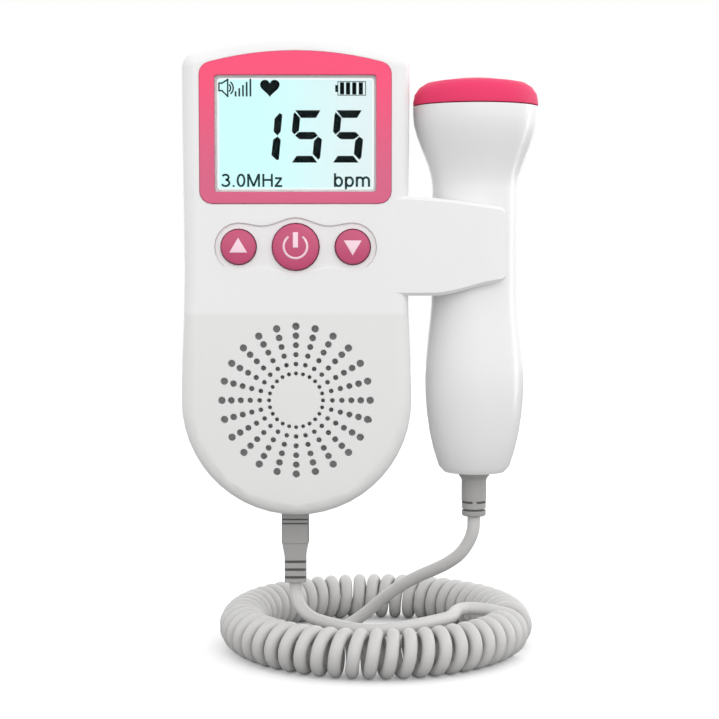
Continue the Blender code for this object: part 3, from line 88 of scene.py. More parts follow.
def at(x, y, height):
    """A point given in millimetres: across, in depth, and above the unit's lower end."""
    return Vector((x, y, height - MOUNT_HEIGHT)) * MM


# %% [markdown]
# The camera comes first, since everything is judged through it. A product photograph of this kind is
# taken with a long lens from a little above the middle. The measured heights of things near and far give
# the distance and the tilt: about half a metre, looking down by under four degrees.

# %% Camera
CAMERA_PLACE = at(17.9, -511.0, 76.2)
CAMERA_LENS = 85.07
LOOKS_DOWN = 3.79

camera_data = bpy.data.cameras.new("camera")
camera_data.sensor_width = 36.0
camera_data.lens = CAMERA_LENS
camera_data.clip_start = 0.01
camera = bpy.data.objects.new("camera", camera_data)
bpy.context.scene.collection.objects.link(camera)
camera.location = CAMERA_PLACE
camera.rotation_euler = (math.radians(90 - LOOKS_DOWN), 0, 0)
bpy.context.scene.camera = camera
print("camera lens in mm:", CAMERA_LENS, "looking down by degrees:", LOOKS_DOWN)

# %% [markdown]
# The cord is one jacketed cable: a plain lead from the plug, a long stretch wound into curls, and a plain
# lead to the probe. A curly cord is wound on a rod and baked, so each curl has the same size, and here the
# wound part lies in a ring. The middle line of the cable on a ring is a circle that rolls round a circle,
# so a formula gives every point and nothing has to be simulated.

# %% The cable's middle line along the curls
CORD = 3.7
RING_X, RING_Y, RING_RADIUS = 22.7, -11.8, 39.3
CURL_RADIUS = 5.1
CURL_PITCH = 3.97
CURL_START, CURL_END, FULL_CURLS = 84.0, -90.0, 52
RING_START = -17.0
CURL_TURN = FULL_CURLS * 360 + CURL_START - CURL_END
RING_TURN = CURL_TURN / 360 * math.degrees(CURL_PITCH / (RING_RADIUS - CURL_RADIUS))


def curl_point(share):
    curl = math.radians(CURL_START - CURL_TURN * share)
    turn = math.radians(RING_START - RING_TURN * share)
    radius = RING_RADIUS + CURL_RADIUS * math.cos(curl)
    height = FLOOR + CORD / 2 + CURL_RADIUS * (1 + math.sin(curl))
    return at(RING_X + radius * math.cos(turn), RING_Y + radius * math.sin(turn), height)


POINTS_A_CURL = 26
steps = round(CURL_TURN / 360 * POINTS_A_CURL)
curl_line = [curl_point(k / steps) for k in range(steps + 1)]
TINY = 0.001 / steps
start_away = (curl_point(0) - curl_point(TINY)).normalized()
end_away = (curl_point(1) - curl_point(1 - TINY)).normalized()
curl_line = [curl_line[0] + start_away * CORD * MM] + curl_line + [curl_line[-1] + end_away * CORD * MM]


def line_length(points):
    return sum((b - a).length for a, b in zip(points, points[1:]))


print("curls:", round(CURL_TURN / 360, 2), "cable in them in mm:", round(line_length(curl_line) / MM))

# %% [markdown]
# The two leads follow points read from the photograph: each leaves its strain relief straight, bends as a
# soft cable does, and meets the curls head on. A cubic through the points with given end slopes keeps the
# ends square, which a plain smooth curve would not.

# %% The leads' middle lines
UNIT_ROUTE = [(0.0, -19.7, -27.3), (2.0, -22.6, -29.7), (4.6, -26.2, -30.8), (7.4, -29.8, -31.0),
              (10.2, -33.2, -31.0), (13.1, -36.5, -31.0), (16.3, -39.3, -31.0), (20.1, -41.6, -30.9),
              (24.3, -42.9, -30.5), (28.8, -42.8, -30.0), (33.1, -41.7, -29.5), (37.2, -39.8, -29.1),
              (40.7, -37.2, -28.9), (43.4, -33.9, -28.9), (44.8, -30.1, -29.0), (45.5, -26.2, -29.1),
              (46.8, -22.9, -29.1), (49.2, -20.7, -29.1), (52.3, -20.2, -29.3)]
PROBE_ROUTE = [(50.4, -17.9, -8.8), (47.7, -16.3, -13.5), (44.2, -13.8, -16.8), (40.4, -10.7, -19.4),
               (36.4, -7.4, -21.8), (32.4, -4.3, -24.5), (28.6, -1.4, -27.5), (24.8, 1.2, -30.9),
               (21.0, 2.9, -34.6), (16.6, 3.2, -37.9), (12.6, 1.4, -39.9), (10.2, -1.9, -40.3),
               (9.4, -5.7, -40.3), (10.7, -9.3, -40.3), (13.7, -11.7, -40.3), (17.6, -12.9, -40.3),
               (22.3, -13.6, -40.3), (28.0, -14.1, -40.3), (33.6, -14.6, -40.3), (39.3, -15.1, -40.3),
               (44.9, -15.6, -40.3)]
BOOT_END = at(-0.8, -18.4, -21.4)
RELIEF_END = at(51.3, -18.4, -2.1)
DOWN = Vector((0, 0, -1))
GAP = 0.3


def lead_line(start, start_way, route, end, end_way, steps=14):
    run = CORD / 2 * MM
    corners = [start, start + start_way * run] + [at(*point) for point in route]
    corners += [end + end_way * run, end]
    last = len(corners) - 2
    slopes = [None] + [(corners[k + 1] - corners[k - 1]) / 2 for k in range(1, last + 1)]
    slopes[1] = start_way * (corners[2] - corners[1]).length
    slopes[last] = -end_way * (corners[last] - corners[last - 1]).length
    line = [start]
    for k in range(1, last):
        for step in range(steps):
            t = step / steps
            line.append((2 * t ** 3 - 3 * t ** 2 + 1) * corners[k] + (t ** 3 - 2 * t ** 2 + t) * slopes[k]
                        + (3 * t ** 2 - 2 * t ** 3) * corners[k + 1] + (t ** 3 - t ** 2) * slopes[k + 1])
    return line + [corners[last], end]


unit_lead = lead_line(BOOT_END + DOWN * GAP * MM, DOWN, UNIT_ROUTE, curl_line[0], start_away)
probe_lead = lead_line(RELIEF_END + DOWN * GAP * MM, DOWN, PROBE_ROUTE, curl_line[-1], end_away)
print("leads in mm:", round(line_length(unit_lead) / MM), "and", round(line_length(probe_lead) / MM))

# %% [markdown]
# A tube round a line could be a bevelled curve, which Blender keeps editable. Here all three stretches are
# meshes, swept by hand: a ring of points is carried along the line without twisting.

# %% Tubes
def add_mesh(name, points, faces, smooth_angle=35.0):
    mesh = bpy.data.meshes.new(name)
    mesh.from_pydata([tuple(point) for point in points], [], faces)
    work = bmesh.new()
    work.from_mesh(mesh)
    bmesh.ops.recalc_face_normals(work, faces=work.faces)
    work.to_mesh(mesh)
    work.free()
    mesh.shade_smooth()
    mesh.set_sharp_from_angle(angle=math.radians(smooth_angle))
    piece = bpy.data.objects.new(name, mesh)
    bpy.context.scene.collection.objects.link(piece)
    return piece


def quads(first, second, count):
    """Faces between two rings of points, whose first points have the numbers first and second."""
    return [(first + k, first + (k + 1) % count, second + (k + 1) % count, second + k)
            for k in range(count)]


def mesh_tube(name, line, diameter, sides=16):
    points = []
    side = Vector((1, 0, 0))
    for k, here in enumerate(line):
        ahead = (line[min(k + 1, len(line) - 1)] - line[max(k - 1, 0)]).normalized()
        side = (side - ahead * side.dot(ahead)).normalized()
        other = ahead.cross(side)
        for step in range(sides):
            angle = 2 * math.pi * step / sides
            points.append(here + (side * math.cos(angle) + other * math.sin(angle)) * diameter / 2)
    faces = []
    for k in range(len(line) - 1):
        faces += quads(k * sides, (k + 1) * sides, sides)
    faces.append(tuple(range(sides)))
    faces.append(tuple(range(len(points) - sides, len(points))))
    print(name, "points:", len(points))
    return add_mesh(name, points, faces)


curls = mesh_tube("cord_curls", curl_line, CORD * MM)
lead_to_plug = mesh_tube("cord_lead_to_plug", unit_lead, CORD * MM)
lead_to_probe = mesh_tube("cord_lead_to_probe", probe_lead, CORD * MM)
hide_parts("cord_coil")
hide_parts("cord_lead_unit")
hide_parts("cord_lead_probe")
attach(curls, "unit")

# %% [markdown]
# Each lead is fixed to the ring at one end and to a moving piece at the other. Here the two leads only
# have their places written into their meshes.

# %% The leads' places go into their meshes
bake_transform(lead_to_plug)
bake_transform(lead_to_probe)

# %% [markdown]
# The finishes share a few effects. Moulded plastic is never quite even: it has a fine grain from the
# tool's surface, and its colour and gloss drift a little over a hand's breadth. Each effect is a node
# group, built once, so that every material can place it with its own values.

# %% Node group helper
def new_group(name, inputs, outputs):
    """A shader group with named float or colour sockets, and its own input and output nodes."""
    group = bpy.data.node_groups.new(name, "ShaderNodeTree")
    kinds = {"float": "NodeSocketFloat", "color": "NodeSocketColor"}
    for label, kind, value in inputs:
        socket = group.interface.new_socket(name=label, in_out="INPUT", socket_type=kinds[kind])
        if value is not None:
            socket.default_value = value
    for label, kind in outputs:
        group.interface.new_socket(name=label, in_out="OUTPUT", socket_type=kinds[kind])
    return group, group.nodes.new("NodeGroupInput"), group.nodes.new("NodeGroupOutput")


def feed(tree, socket, value):
    """Links the socket to another one, or gives it a plain value."""
    if isinstance(value, bpy.types.NodeSocket):
        tree.links.new(value, socket)
    elif value is not None:
        socket.default_value = value


def math_node(tree, operation, first, second=None, clamp=False):
    node = tree.nodes.new("ShaderNodeMath")
    node.operation = operation
    node.use_clamp = clamp
    feed(tree, node.inputs[0], first)
    feed(tree, node.inputs[1], second)
    return node.outputs[0]


def ramp_node(tree, value, start, end):
    """Rises softly from 0 to 1 while the value goes from start to end."""
    node = tree.nodes.new("ShaderNodeMapRange")
    node.interpolation_type = "SMOOTHSTEP"
    for label, operand in (("Value", value), ("From Min", start), ("From Max", end)):
        feed(tree, node.inputs[label], operand)
    return node.outputs[0]


def mix_node(tree, factor, first, second, kind="RGBA"):
    node = tree.nodes.new("ShaderNodeMix")
    node.data_type = kind
    for label, operand in (("Factor", factor), ("A", first), ("B", second)):
        feed(tree, node.inputs[label], operand)
    return node.outputs["Result"]


def axes(tree, kind="Object"):
    """The X, Y and Z of the place that is shaded."""
    place = tree.nodes.new("ShaderNodeTexCoord")
    split = tree.nodes.new("ShaderNodeSeparateXYZ")
    tree.links.new(place.outputs[kind], split.inputs[0])
    return split.outputs


# %% Group: fine grain of a moulded surface
grain_group, grain_in, grain_out = new_group(
    "Moulded grain", [("Scale", "float", 900.0), ("Depth", "float", 1.0)], [("Height", "float")])
place = grain_group.nodes.new("ShaderNodeTexCoord")
fine = grain_group.nodes.new("ShaderNodeTexNoise")
fine.inputs["Detail"].default_value = 2.0
grain_group.links.new(place.outputs["Object"], fine.inputs["Vector"])
grain_group.links.new(grain_in.outputs["Scale"], fine.inputs["Scale"])
grain_group.links.new(math_node(grain_group, "MULTIPLY", fine.outputs["Fac"], grain_in.outputs["Depth"]),
                      grain_out.inputs["Height"])

# %% Group: slow drift of colour and gloss
drift_group, drift_in, drift_out = new_group(
    "Slow drift",
    [("Color", "color", None), ("Scale", "float", 25.0), ("Amount", "float", 0.05),
     ("Roughness", "float", 0.35), ("Gloss Change", "float", 0.06)],
    [("Color", "color"), ("Roughness", "float")])
place = drift_group.nodes.new("ShaderNodeTexCoord")
slow = drift_group.nodes.new("ShaderNodeTexNoise")
slow.inputs["Detail"].default_value = 3.0
drift_group.links.new(place.outputs["Object"], slow.inputs["Vector"])
drift_group.links.new(drift_in.outputs["Scale"], slow.inputs["Scale"])
centred = math_node(drift_group, "SUBTRACT", slow.outputs["Fac"], 0.5)
shade = math_node(drift_group, "ADD", 1.0, math_node(drift_group, "MULTIPLY", centred,
                                                     drift_in.outputs["Amount"]))
tint = drift_group.nodes.new("ShaderNodeVectorMath")
tint.operation = "SCALE"
drift_group.links.new(drift_in.outputs["Color"], tint.inputs[0])
drift_group.links.new(shade, tint.inputs["Scale"])
drift_group.links.new(tint.outputs[0], drift_out.inputs["Color"])
gloss = math_node(drift_group, "MULTIPLY", centred, drift_in.outputs["Gloss Change"])
drift_group.links.new(math_node(drift_group, "ADD", drift_in.outputs["Roughness"], gloss, clamp=True),
                      drift_out.inputs["Roughness"])


# %% Group: a colour that changes from low to high, and fades out towards the back
# 8 and 9 m lie behind everything, so nothing fades out where no other depths are given
# Where it is used, this change of colour is painted light: painted shade on the case's lower front, and a
# painted reflection at the bezel's top.
rise_group, rise_in, rise_out = new_group(
    "Rising colour",
    [("Low Color", "color", None), ("High Color", "color", None), ("Low", "float", 0.0),
     ("High", "float", 1.0), ("Front", "float", 8.0), ("Behind", "float", 9.0)],
    [("Color", "color")])
place = axes(rise_group)
higher = ramp_node(rise_group, place["Z"], rise_in.outputs["Low"], rise_in.outputs["High"])
deeper = ramp_node(rise_group, place["Y"], rise_in.outputs["Front"], rise_in.outputs["Behind"])
blend = mix_node(rise_group, math_node(rise_group, "MAXIMUM", higher, deeper),
                 rise_in.outputs["Low Color"], rise_in.outputs["High Color"])
rise_group.links.new(blend, rise_out.inputs["Color"])
print("effects:", [group.name for group in (grain_group, drift_group, rise_group)])

# %% [markdown]
# A finish is then one shader with its fixed values set on its own sockets, and the groups linked to its
# colour, roughness and normal. The grain goes through a Bump node, whose distance is a few hundredths of
# a millimetre, because a larger one would look like orange peel.

# %% Finish helper
def set_sockets(node, values):
    """Plain values for a node's sockets, whose names are written with _ for each space."""
    for label, value in values.items():
        node.inputs[label.replace("_", " ")].default_value = value


def place_group(tree, group, **values):
    node = tree.nodes.new("ShaderNodeGroup")
    node.node_tree = group
    set_sockets(node, values)
    return node


def new_material(name, **values):
    material = bpy.data.materials.new(name)
    material.use_nodes = True
    shader = material.node_tree.nodes["Principled BSDF"]
    set_sockets(shader, values)
    return material, material.node_tree, shader


def srgb(red, green, blue):
    """A colour as read from a screen, 0 to 255, as the linear values that a shader takes."""
    shares = [value / 255 for value in (red, green, blue)]
    return tuple(s / 12.92 if s <= 0.04045 else ((s + 0.055) / 1.055) ** 2.4 for s in shares) + (1.0,)


WHITE = srgb(255, 255, 255)


def make_finish(name, color, roughness, metallic=0.0, grain=(900.0, 0.5), drift=(25.0, 0.05, 0.08),
                coat=0.0, rising=None, only_front=None, bump_mm=0.02, specular=0.5):
    """A procedural finish. grain is scale and depth; drift is scale, colour amount and gloss amount.
    rising is a lower colour and the heights where it starts and ends to give way to the finish's own.
    only_front is the depths, in mm, between which the lower colour fades out."""
    material, tree, shader = new_material(name, Metallic=metallic, Coat_Weight=coat, Coat_Roughness=0.12,
                                          Specular_IOR_Level=specular)
    wander = place_group(tree, drift_group, Color=color, Scale=drift[0], Amount=drift[1],
                         Roughness=roughness, Gloss_Change=drift[2])
    if rising:
        low_color, low, high = rising
        rise = place_group(tree, rise_group, Low_Color=low_color, High_Color=color,
                           Low=at(0, 0, low).z, High=at(0, 0, high).z)
        if only_front:
            set_sockets(rise, {"Front": only_front[0] * MM, "Behind": only_front[1] * MM})
        tree.links.new(rise.outputs["Color"], wander.inputs["Color"])
    tree.links.new(wander.outputs["Color"], shader.inputs["Base Color"])
    tree.links.new(wander.outputs["Roughness"], shader.inputs["Roughness"])
    pattern = place_group(tree, grain_group, Scale=grain[0], Depth=grain[1])
    bump = tree.nodes.new("ShaderNodeBump")
    set_sockets(bump, {"Distance": bump_mm * MM, "Strength": 0.6})
    tree.links.new(pattern.outputs["Height"], bump.inputs["Height"])
    tree.links.new(bump.outputs["Normal"], shader.inputs["Normal"])
    return material


# %% [markdown]
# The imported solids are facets, each with its own corners, so they shade like cut stone. Every piece but
# the cord gets a finer surface of the same shape: the corners are joined, flat areas become single
# faces, sharp edges of small pieces are broken by one or two tenths of a millimetre, as any moulding's
# are, and the normals are weighted by area, which keeps flat faces flat right up to their rounded rims.

# %% Surface helpers
shown = {}


def give_surface(name, work, edge=0.0, smooth_angle=33.0):
    """A piece that shows a CAD node's shape with smooth shading, and breaks its edges by edge mm."""
    mesh = bpy.data.meshes.new(name + "_surface")
    work.to_mesh(mesh)
    work.free()
    if "custom_normal" in mesh.attributes:
        mesh.attributes.remove(mesh.attributes["custom_normal"])
    mesh.shade_smooth()
    mesh.set_sharp_from_angle(angle=math.radians(smooth_angle))
    piece = bpy.data.objects.new(name + "_surface", mesh)
    bpy.context.scene.collection.objects.link(piece)
    if edge:
        broken = piece.modifiers.new("broken edge", "BEVEL")
        broken.width = edge * MM
        broken.segments = 2
        broken.limit_method = "ANGLE"
        broken.angle_limit = math.radians(40)
    flat = piece.modifiers.new("flat faces", "WEIGHTED_NORMAL")
    flat.keep_sharp = True
    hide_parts(name)
    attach(piece, nodes[name]["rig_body"])
    shown[name] = piece
    return piece


def joined_mesh(name):
    work = bmesh.new()
    work.from_mesh(nodes[name].data)
    bmesh.ops.remove_doubles(work, verts=work.verts, dist=1e-6)
    return work


def height_of(vertex):
    return vertex.co.z / MM + MOUNT_HEIGHT


def open_edges(work):
    return [edge for edge in work.edges if len(edge.link_faces) != 2]


# %% [markdown]
# Two pieces also close a gap that the solids keep. The bezel is glued in and sits tight in its seat, so its
# outer wall moves outwards. The boot is moulded onto the plug, so its top moves up to it.

# %% Finer surfaces of the solids
EDGES = {"display_bezel": 0.2, "power_button": 0.15, "volume_up_button": 0.15, "volume_down_button": 0.15,
         "battery_door": 0.15, "headphone_jack": 0.12, "plug_body": 0.12, "plug_boot": 0.1,
         "probe_cap": 0.1}
BEZEL_SIDE, BEZEL_LOW, BEZEL_HIGH = 24.8, 89.5, 126.0
BEZEL_MOVE, BOOT_MOVE = 0.2, 0.26


def widen_bezel(work):
    for vertex in work.verts:
        outward = Vector((vertex.normal.x, 0, vertex.normal.z))
        outer = abs(vertex.co.x) > BEZEL_SIDE * MM or not BEZEL_LOW <= height_of(vertex) <= BEZEL_HIGH
        if outer and outward.length > 0.3:
            vertex.co += outward.normalized() * BEZEL_MOVE * MM


def raise_boot(work):
    top = max(vertex.co.z for vertex in work.verts)
    for vertex in work.verts:
        if top - vertex.co.z < 0.05 * MM:
            vertex.co.z += BOOT_MOVE * MM


CLOSER = {"display_bezel": widen_bezel, "plug_boot": raise_boot}
for name in sorted(nodes):
    if name.startswith("cord") or name in ("front_shell", "probe_strain_relief"):
        continue
    work = joined_mesh(name)
    bmesh.ops.dissolve_limit(work, angle_limit=math.radians(0.3), verts=work.verts, edges=work.edges)
    if name in CLOSER:
        CLOSER[name](work)
    give_surface(name, work, EDGES.get(name, 0.0))
print("finer surfaces:", len(shown))

# %% [markdown]
# The probe's strain relief is small but easily seen. It has a flared collar, a plain sleeve, and two
# grooves that let it bend: the upper one is cut in four slots with bridges between them, and the lower one
# goes all round. A radius for every height and angle describes it, and the rings of points are joined as
# for a tube.

# %% The strain relief's form
PROBE_X, PROBE_Y = 51.3, -18.4
RELIEF_TOP, RELIEF_LOW = 10.7, -2.1
RELIEF_BODY = 3.6
COLLAR = 4.45
GROOVE_HIGH, GROOVE_LOW = (2.35, 1.75), (0.1, -0.5)
GROOVE_DEPTH = 0.5
RELIEF_SIDES = 72
BRIDGES_EVERY, BRIDGE_HALF = 90, 14


def relief_levels():
    """Height, radius on the bridges, and radius elsewhere, from the collar down."""
    levels = [(RELIEF_TOP, COLLAR), (RELIEF_TOP - 0.9, COLLAR), (RELIEF_TOP - 1.15, COLLAR - 0.25),
              (RELIEF_TOP - 2.0, RELIEF_BODY + 0.06), (RELIEF_TOP - 2.3, RELIEF_BODY),
              (GROOVE_HIGH[0] + 0.12, RELIEF_BODY), (GROOVE_HIGH[0], RELIEF_BODY - 0.1)]
    rows = [(height, radius, radius) for height, radius in levels]
    sleeve = RELIEF_BODY - 0.12
    floor = sleeve - GROOVE_DEPTH
    for (high, low), bridge in ((GROOVE_HIGH, sleeve), (GROOVE_LOW, floor)):
        rows += [(high - 0.02, bridge, floor), (low + 0.02, bridge, floor), (low, sleeve, sleeve)]
        if low == GROOVE_HIGH[1]:
            rows.append((GROOVE_LOW[0], sleeve, sleeve))
    return rows + [(RELIEF_LOW + 0.5, sleeve, sleeve), (RELIEF_LOW + 0.15, sleeve - 0.15, sleeve - 0.15),
                   (RELIEF_LOW, sleeve - 0.4, sleeve - 0.4)]


# %% The probe's strain relief
def join_rings(work, rings):
    """Faces between each ring of vertices and the next."""
    for near, far in zip(rings, rings[1:]):
        for k in range(len(near)):
            after = (k + 1) % len(near)
            work.faces.new((near[k], near[after], far[after], far[k]))


relief = bmesh.new()
rings = []
for height, bridge, other in relief_levels():
    rings.append([])
    for k in range(RELIEF_SIDES):
        degrees = 360 * k / RELIEF_SIDES
        off_bridge = abs((degrees + BRIDGES_EVERY / 2) % BRIDGES_EVERY - BRIDGES_EVERY / 2)
        radius = bridge if off_bridge < BRIDGE_HALF else other
        x = PROBE_X + radius * math.cos(math.radians(degrees))
        y = PROBE_Y + radius * math.sin(math.radians(degrees))
        rings[-1].append(relief.verts.new(at(x, y, height)))
join_rings(relief, rings)
relief.faces.new(rings[0])
relief.faces.new(rings[-1])
bmesh.ops.recalc_face_normals(relief, faces=relief.faces)
print("strain relief rings:", len(rings), "open edges:", len(open_edges(relief)))
give_surface("probe_strain_relief", relief)

# %% [markdown]
# The front shell needs more: its 144 speaker holes are five-sided in the CAD model, to keep it light. The
# old holes are cut away with the face round them, and the face is filled again round true rounds, each
# with a small chamfer, which is what makes a moulded hole catch the light. The rim of the hollow round the
# buttons is rounded with a bevel of its edges, so that it shows as a soft line.

# %% The speaker grille's holes
SPEAKER_HEIGHT = 33.0
FACE_INNER = -31.6
SPOKES, GRILLE_RINGS = 24, 6
GRILLE_INNER, GRILLE_OUTER = 7.6, 20.9
SMALL_HOLE, LARGE_HOLE = 0.56, 1.03
CHAMFER = 0.16
HOLE_SIDES = 20


def grille_holes():
    """Centre and radius of each hole: rings of spokes that grow outwards."""
    holes = []
    for ring in range(GRILLE_RINGS):
        share = ring / (GRILLE_RINGS - 1)
        radius = GRILLE_INNER + (GRILLE_OUTER - GRILLE_INNER) * share
        hole = SMALL_HOLE + (LARGE_HOLE - SMALL_HOLE) * share
        for spoke in range(SPOKES):
            angle = math.radians(90 + 360 * spoke / SPOKES)
            holes.append((radius * math.cos(angle), SPEAKER_HEIGHT + radius * math.sin(angle), hole))
    return holes


def lies_at(edge, depth):
    return all(abs(vertex.co.y - depth * MM) < 1e-5 for vertex in edge.verts)


shell = joined_mesh("front_shell")
middle = at(0, 0, SPEAKER_HEIGHT)
reach = (GRILLE_OUTER + LARGE_HOLE + 0.3) * MM
old_holes = [vertex for vertex in shell.verts if vertex.co.y < (FACE_INNER + 0.01) * MM
             and math.hypot(vertex.co.x - middle.x, vertex.co.z - middle.z) < reach]
bmesh.ops.delete(shell, geom=old_holes, context="VERTS")
for x, height, hole in grille_holes():
    rings = []
    for radius, depth in ((hole + CHAMFER, FRONT), (hole, FRONT + CHAMFER), (hole, FACE_INNER)):
        angles = [2 * math.pi * k / HOLE_SIDES for k in range(HOLE_SIDES)]
        rings.append([shell.verts.new(at(x + radius * math.cos(a), depth, height + radius * math.sin(a)))
                      for a in angles])
    join_rings(shell, rings)
for depth, normal in ((FRONT, (0, -1, 0)), (FACE_INNER, (0, 1, 0))):
    rims = [edge for edge in shell.edges if len(edge.link_faces) == 1 and lies_at(edge, depth)]
    filled = bmesh.ops.triangle_fill(shell, use_beauty=True, edges=rims, normal=normal)
    print("face filled at", depth, "with", len(filled["geom"]), "parts")

# %% The rim of the hollow round the buttons
HOLLOW_HALF, HOLLOW_LOW, HOLLOW_HIGH = 24.0, 62.0, 90.0
HOLLOW_ROUND, HOLLOW_DEPTH = 0.3, 0.5


def in_hollow(x, height):
    return abs(x) < HOLLOW_HALF and HOLLOW_LOW < height < HOLLOW_HIGH


rim_edges = [edge for edge in shell.edges if len(edge.link_faces) == 2 and edge.calc_face_angle() > 1.2
             and lies_at(edge, FRONT)
             and all(in_hollow(vertex.co.x / MM, height_of(vertex)) for vertex in edge.verts)]
bmesh.ops.bevel(shell, geom=rim_edges, offset=HOLLOW_ROUND * MM, offset_type="OFFSET", segments=2,
                profile=0.5, affect="EDGES", clamp_overlap=False)
bmesh.ops.recalc_face_normals(shell, faces=shell.faces)
print("hollow rim edges rounded:", len(rim_edges), "open edges left:", len(open_edges(shell)))
give_surface("front_shell", shell)


# %% [markdown]
# White ABS is the main finish. It is a warm, slightly grey white with a satin tool grain, not pure white:
# in the photograph it stands out against a white background. On the front, the speaker's half is painted a
# tone darker than the display's half, with a soft step between them: painted shade, for a lower face that
# gets a little less of the light from above. The painted shade fades out over the rounded rim. The handle
# of the probe is the same plastic from another tool, a little glossier.

# %% White plastics
def put_finish(material, *pieces):
    """Gives the finish to pieces, or to the surfaces of the CAD nodes with these names."""
    for piece in pieces:
        piece = shown[piece] if isinstance(piece, str) else piece
        piece.data.materials.clear()
        piece.data.materials.append(material)
    print(material.name, "on", len(pieces))


STEP_HEIGHT = 57.4
# The rising colour here is painted shade: the speaker's half of the front is painted a tone darker.
case_white = make_finish("case_white", srgb(238, 238, 238), 0.4, grain=(1400.0, 0.5),
                         rising=(srgb(231, 231, 230), STEP_HEIGHT - 0.7, STEP_HEIGHT + 0.7),
                         only_front=(FRONT + 0.6, FRONT + 3.0))
handle_white = make_finish("handle_white", srgb(236, 236, 236), 0.3, grain=(1100.0, 0.35), coat=0.1)
put_finish(case_white, "front_shell", "rear_shell", "battery_door")
put_finish(handle_white, "probe_handle")

# %% [markdown]
# The bezel and the probe's cap are a satin pink. The bezel's colour is painted stronger towards its arched
# top, a painted reflection of the bright room above. The buttons are a duller, bluer pink, as soft plastic
# is.

# %% Pink plastics
# Painted reflection: the bezel is painted paler below these heights and stronger above them.
PALE_BELOW, STRONG_ABOVE = 92, 130
bezel_pink = make_finish("bezel_pink", srgb(252, 66, 115), 0.36, coat=0.08, drift=(18.0, 0.06, 0.06),
                         rising=(srgb(218, 90, 129), PALE_BELOW, STRONG_ABOVE))
cap_pink = make_finish("cap_pink", srgb(228, 62, 106), 0.5, specular=0.1)
button_pink = make_finish("button_pink", srgb(198, 76, 117), 0.38, grain=(1500.0, 0.6))
put_finish(bezel_pink, "display_bezel")
put_finish(cap_pink, "probe_cap")
put_finish(button_pink, "power_button", "volume_up_button", "volume_down_button")

# %% [markdown]
# The cable's jacket and the soft mouldings on it are greys. The jacket is PVC with a satin skin, and the
# strain relief, the plug and its boot are darker and duller.

# %% Greys of the cord
cord_grey = make_finish("cord_grey", srgb(206, 205, 204), 0.42, grain=(1800.0, 0.5),
                        drift=(60.0, 0.05, 0.1))
boot_grey = make_finish("boot_grey", srgb(168, 167, 166), 0.48, grain=(1600.0, 0.8))
put_finish(cord_grey, curls, lead_to_plug, lead_to_probe)
put_finish(boot_grey, "plug_body", "plug_boot", "probe_strain_relief")

# %% [markdown]
# The rest is mostly inside, and shows through the grille, the open battery door and the sockets: black
# mouldings, plated steel, gold contacts, green boards, the speaker's cloth and cone, the ceramic discs and
# their resin backing.

# %% Inner finishes
plated_steel = make_finish("plated_steel", srgb(198, 198, 200), 0.28, metallic=1.0, grain=(2600.0, 0.4))
put_finish(plated_steel, "speaker_magnet",
           *[name for name in shown if name.startswith(("case_screw", "contact_"))])
put_finish(make_finish("black_plastic", srgb(30, 30, 31), 0.42), "headphone_jack", "probe_socket",
           "power_switch", "volume_up_switch", "volume_down_switch", "speaker_basket")
put_finish(make_finish("gold_contact", srgb(226, 184, 96), 0.22, metallic=1.0), "plug_contacts")
put_finish(make_finish("board_green", srgb(26, 96, 56), 0.32, grain=(2200.0, 0.9), coat=0.3),
           "main_board", "probe_board")
put_finish(make_finish("speaker_cloth", srgb(176, 176, 176), 0.9, grain=(3600.0, 1.6), bump_mm=0.06),
           "speaker_mesh")
put_finish(make_finish("speaker_paper", srgb(46, 46, 48), 0.8, grain=(1500.0, 1.4), bump_mm=0.05),
           "speaker_cone")
put_finish(make_finish("ceramic_disc", srgb(214, 206, 176), 0.36), "crystal_left", "crystal_right")
put_finish(make_finish("resin_backing", srgb(98, 92, 84), 0.6, grain=(900.0, 1.2)), "crystal_backing")
put_finish(make_finish("light_guide", srgb(226, 240, 240), 0.25), "lcd_backlight")

# %% [markdown]
# A dry cell is a steel can in a shrunk sleeve, which leaves the two ends bare. A piece can hold several
# finishes, one for each of its faces: here a face that looks along the cell is bare steel. The same way
# paints shade on the upper rim of the buttons' hollow and in the grooves of the plug, its boot and the
# strain relief: painted shade, where little light comes in.

# %% Second finishes, face by face
def finish_where(name, material, chosen):
    """Gives a second finish to the faces that chosen(x, y, height, normal) picks, in millimetres."""
    mesh = shown[name].data
    mesh.materials.append(material)
    count = 0
    for face in mesh.polygons:
        middle = face.center / MM
        if chosen(middle.x, middle.y, middle.z + MOUNT_HEIGHT, face.normal):
            face.material_index = len(mesh.materials) - 1
            count += 1
    print(material.name, "on", count, "faces of", name)


cell_sleeve = make_finish("cell_sleeve", srgb(52, 58, 66), 0.3, metallic=0.35, coat=0.3)
put_finish(cell_sleeve, "battery_cell_left", "battery_cell_right")
for name in ("battery_cell_left", "battery_cell_right"):
    finish_where(name, plated_steel, lambda x, y, height, normal: abs(normal.z) > 0.5)
# Painted shade on the walls of the buttons' hollow that look down or sideways.
painted_hollow_shade = make_finish("painted_hollow_shade", srgb(202, 199, 200), 0.6)
finish_where("front_shell", painted_hollow_shade, lambda x, y, height, normal: (
    in_hollow(x, height) and FRONT + 0.02 < y < FRONT + HOLLOW_DEPTH - 0.02
    and abs(normal.y) < 0.95 and normal.z < 0.3))

# %% Grooves
PLUG_GROOVES, PLUG_FACE = (-4.5, -2.3), (-21.5, -21.1)
BOOT_GROOVES, BOOT_GROOVE_HIGH = (-14.9, -17.2, -19.5), 0.7
BOOT_FRONT, BOOT_BACK = (-21.4, -20.7), (-16.1, -15.4)


def between(value, span):
    return span[0] < value < span[1]
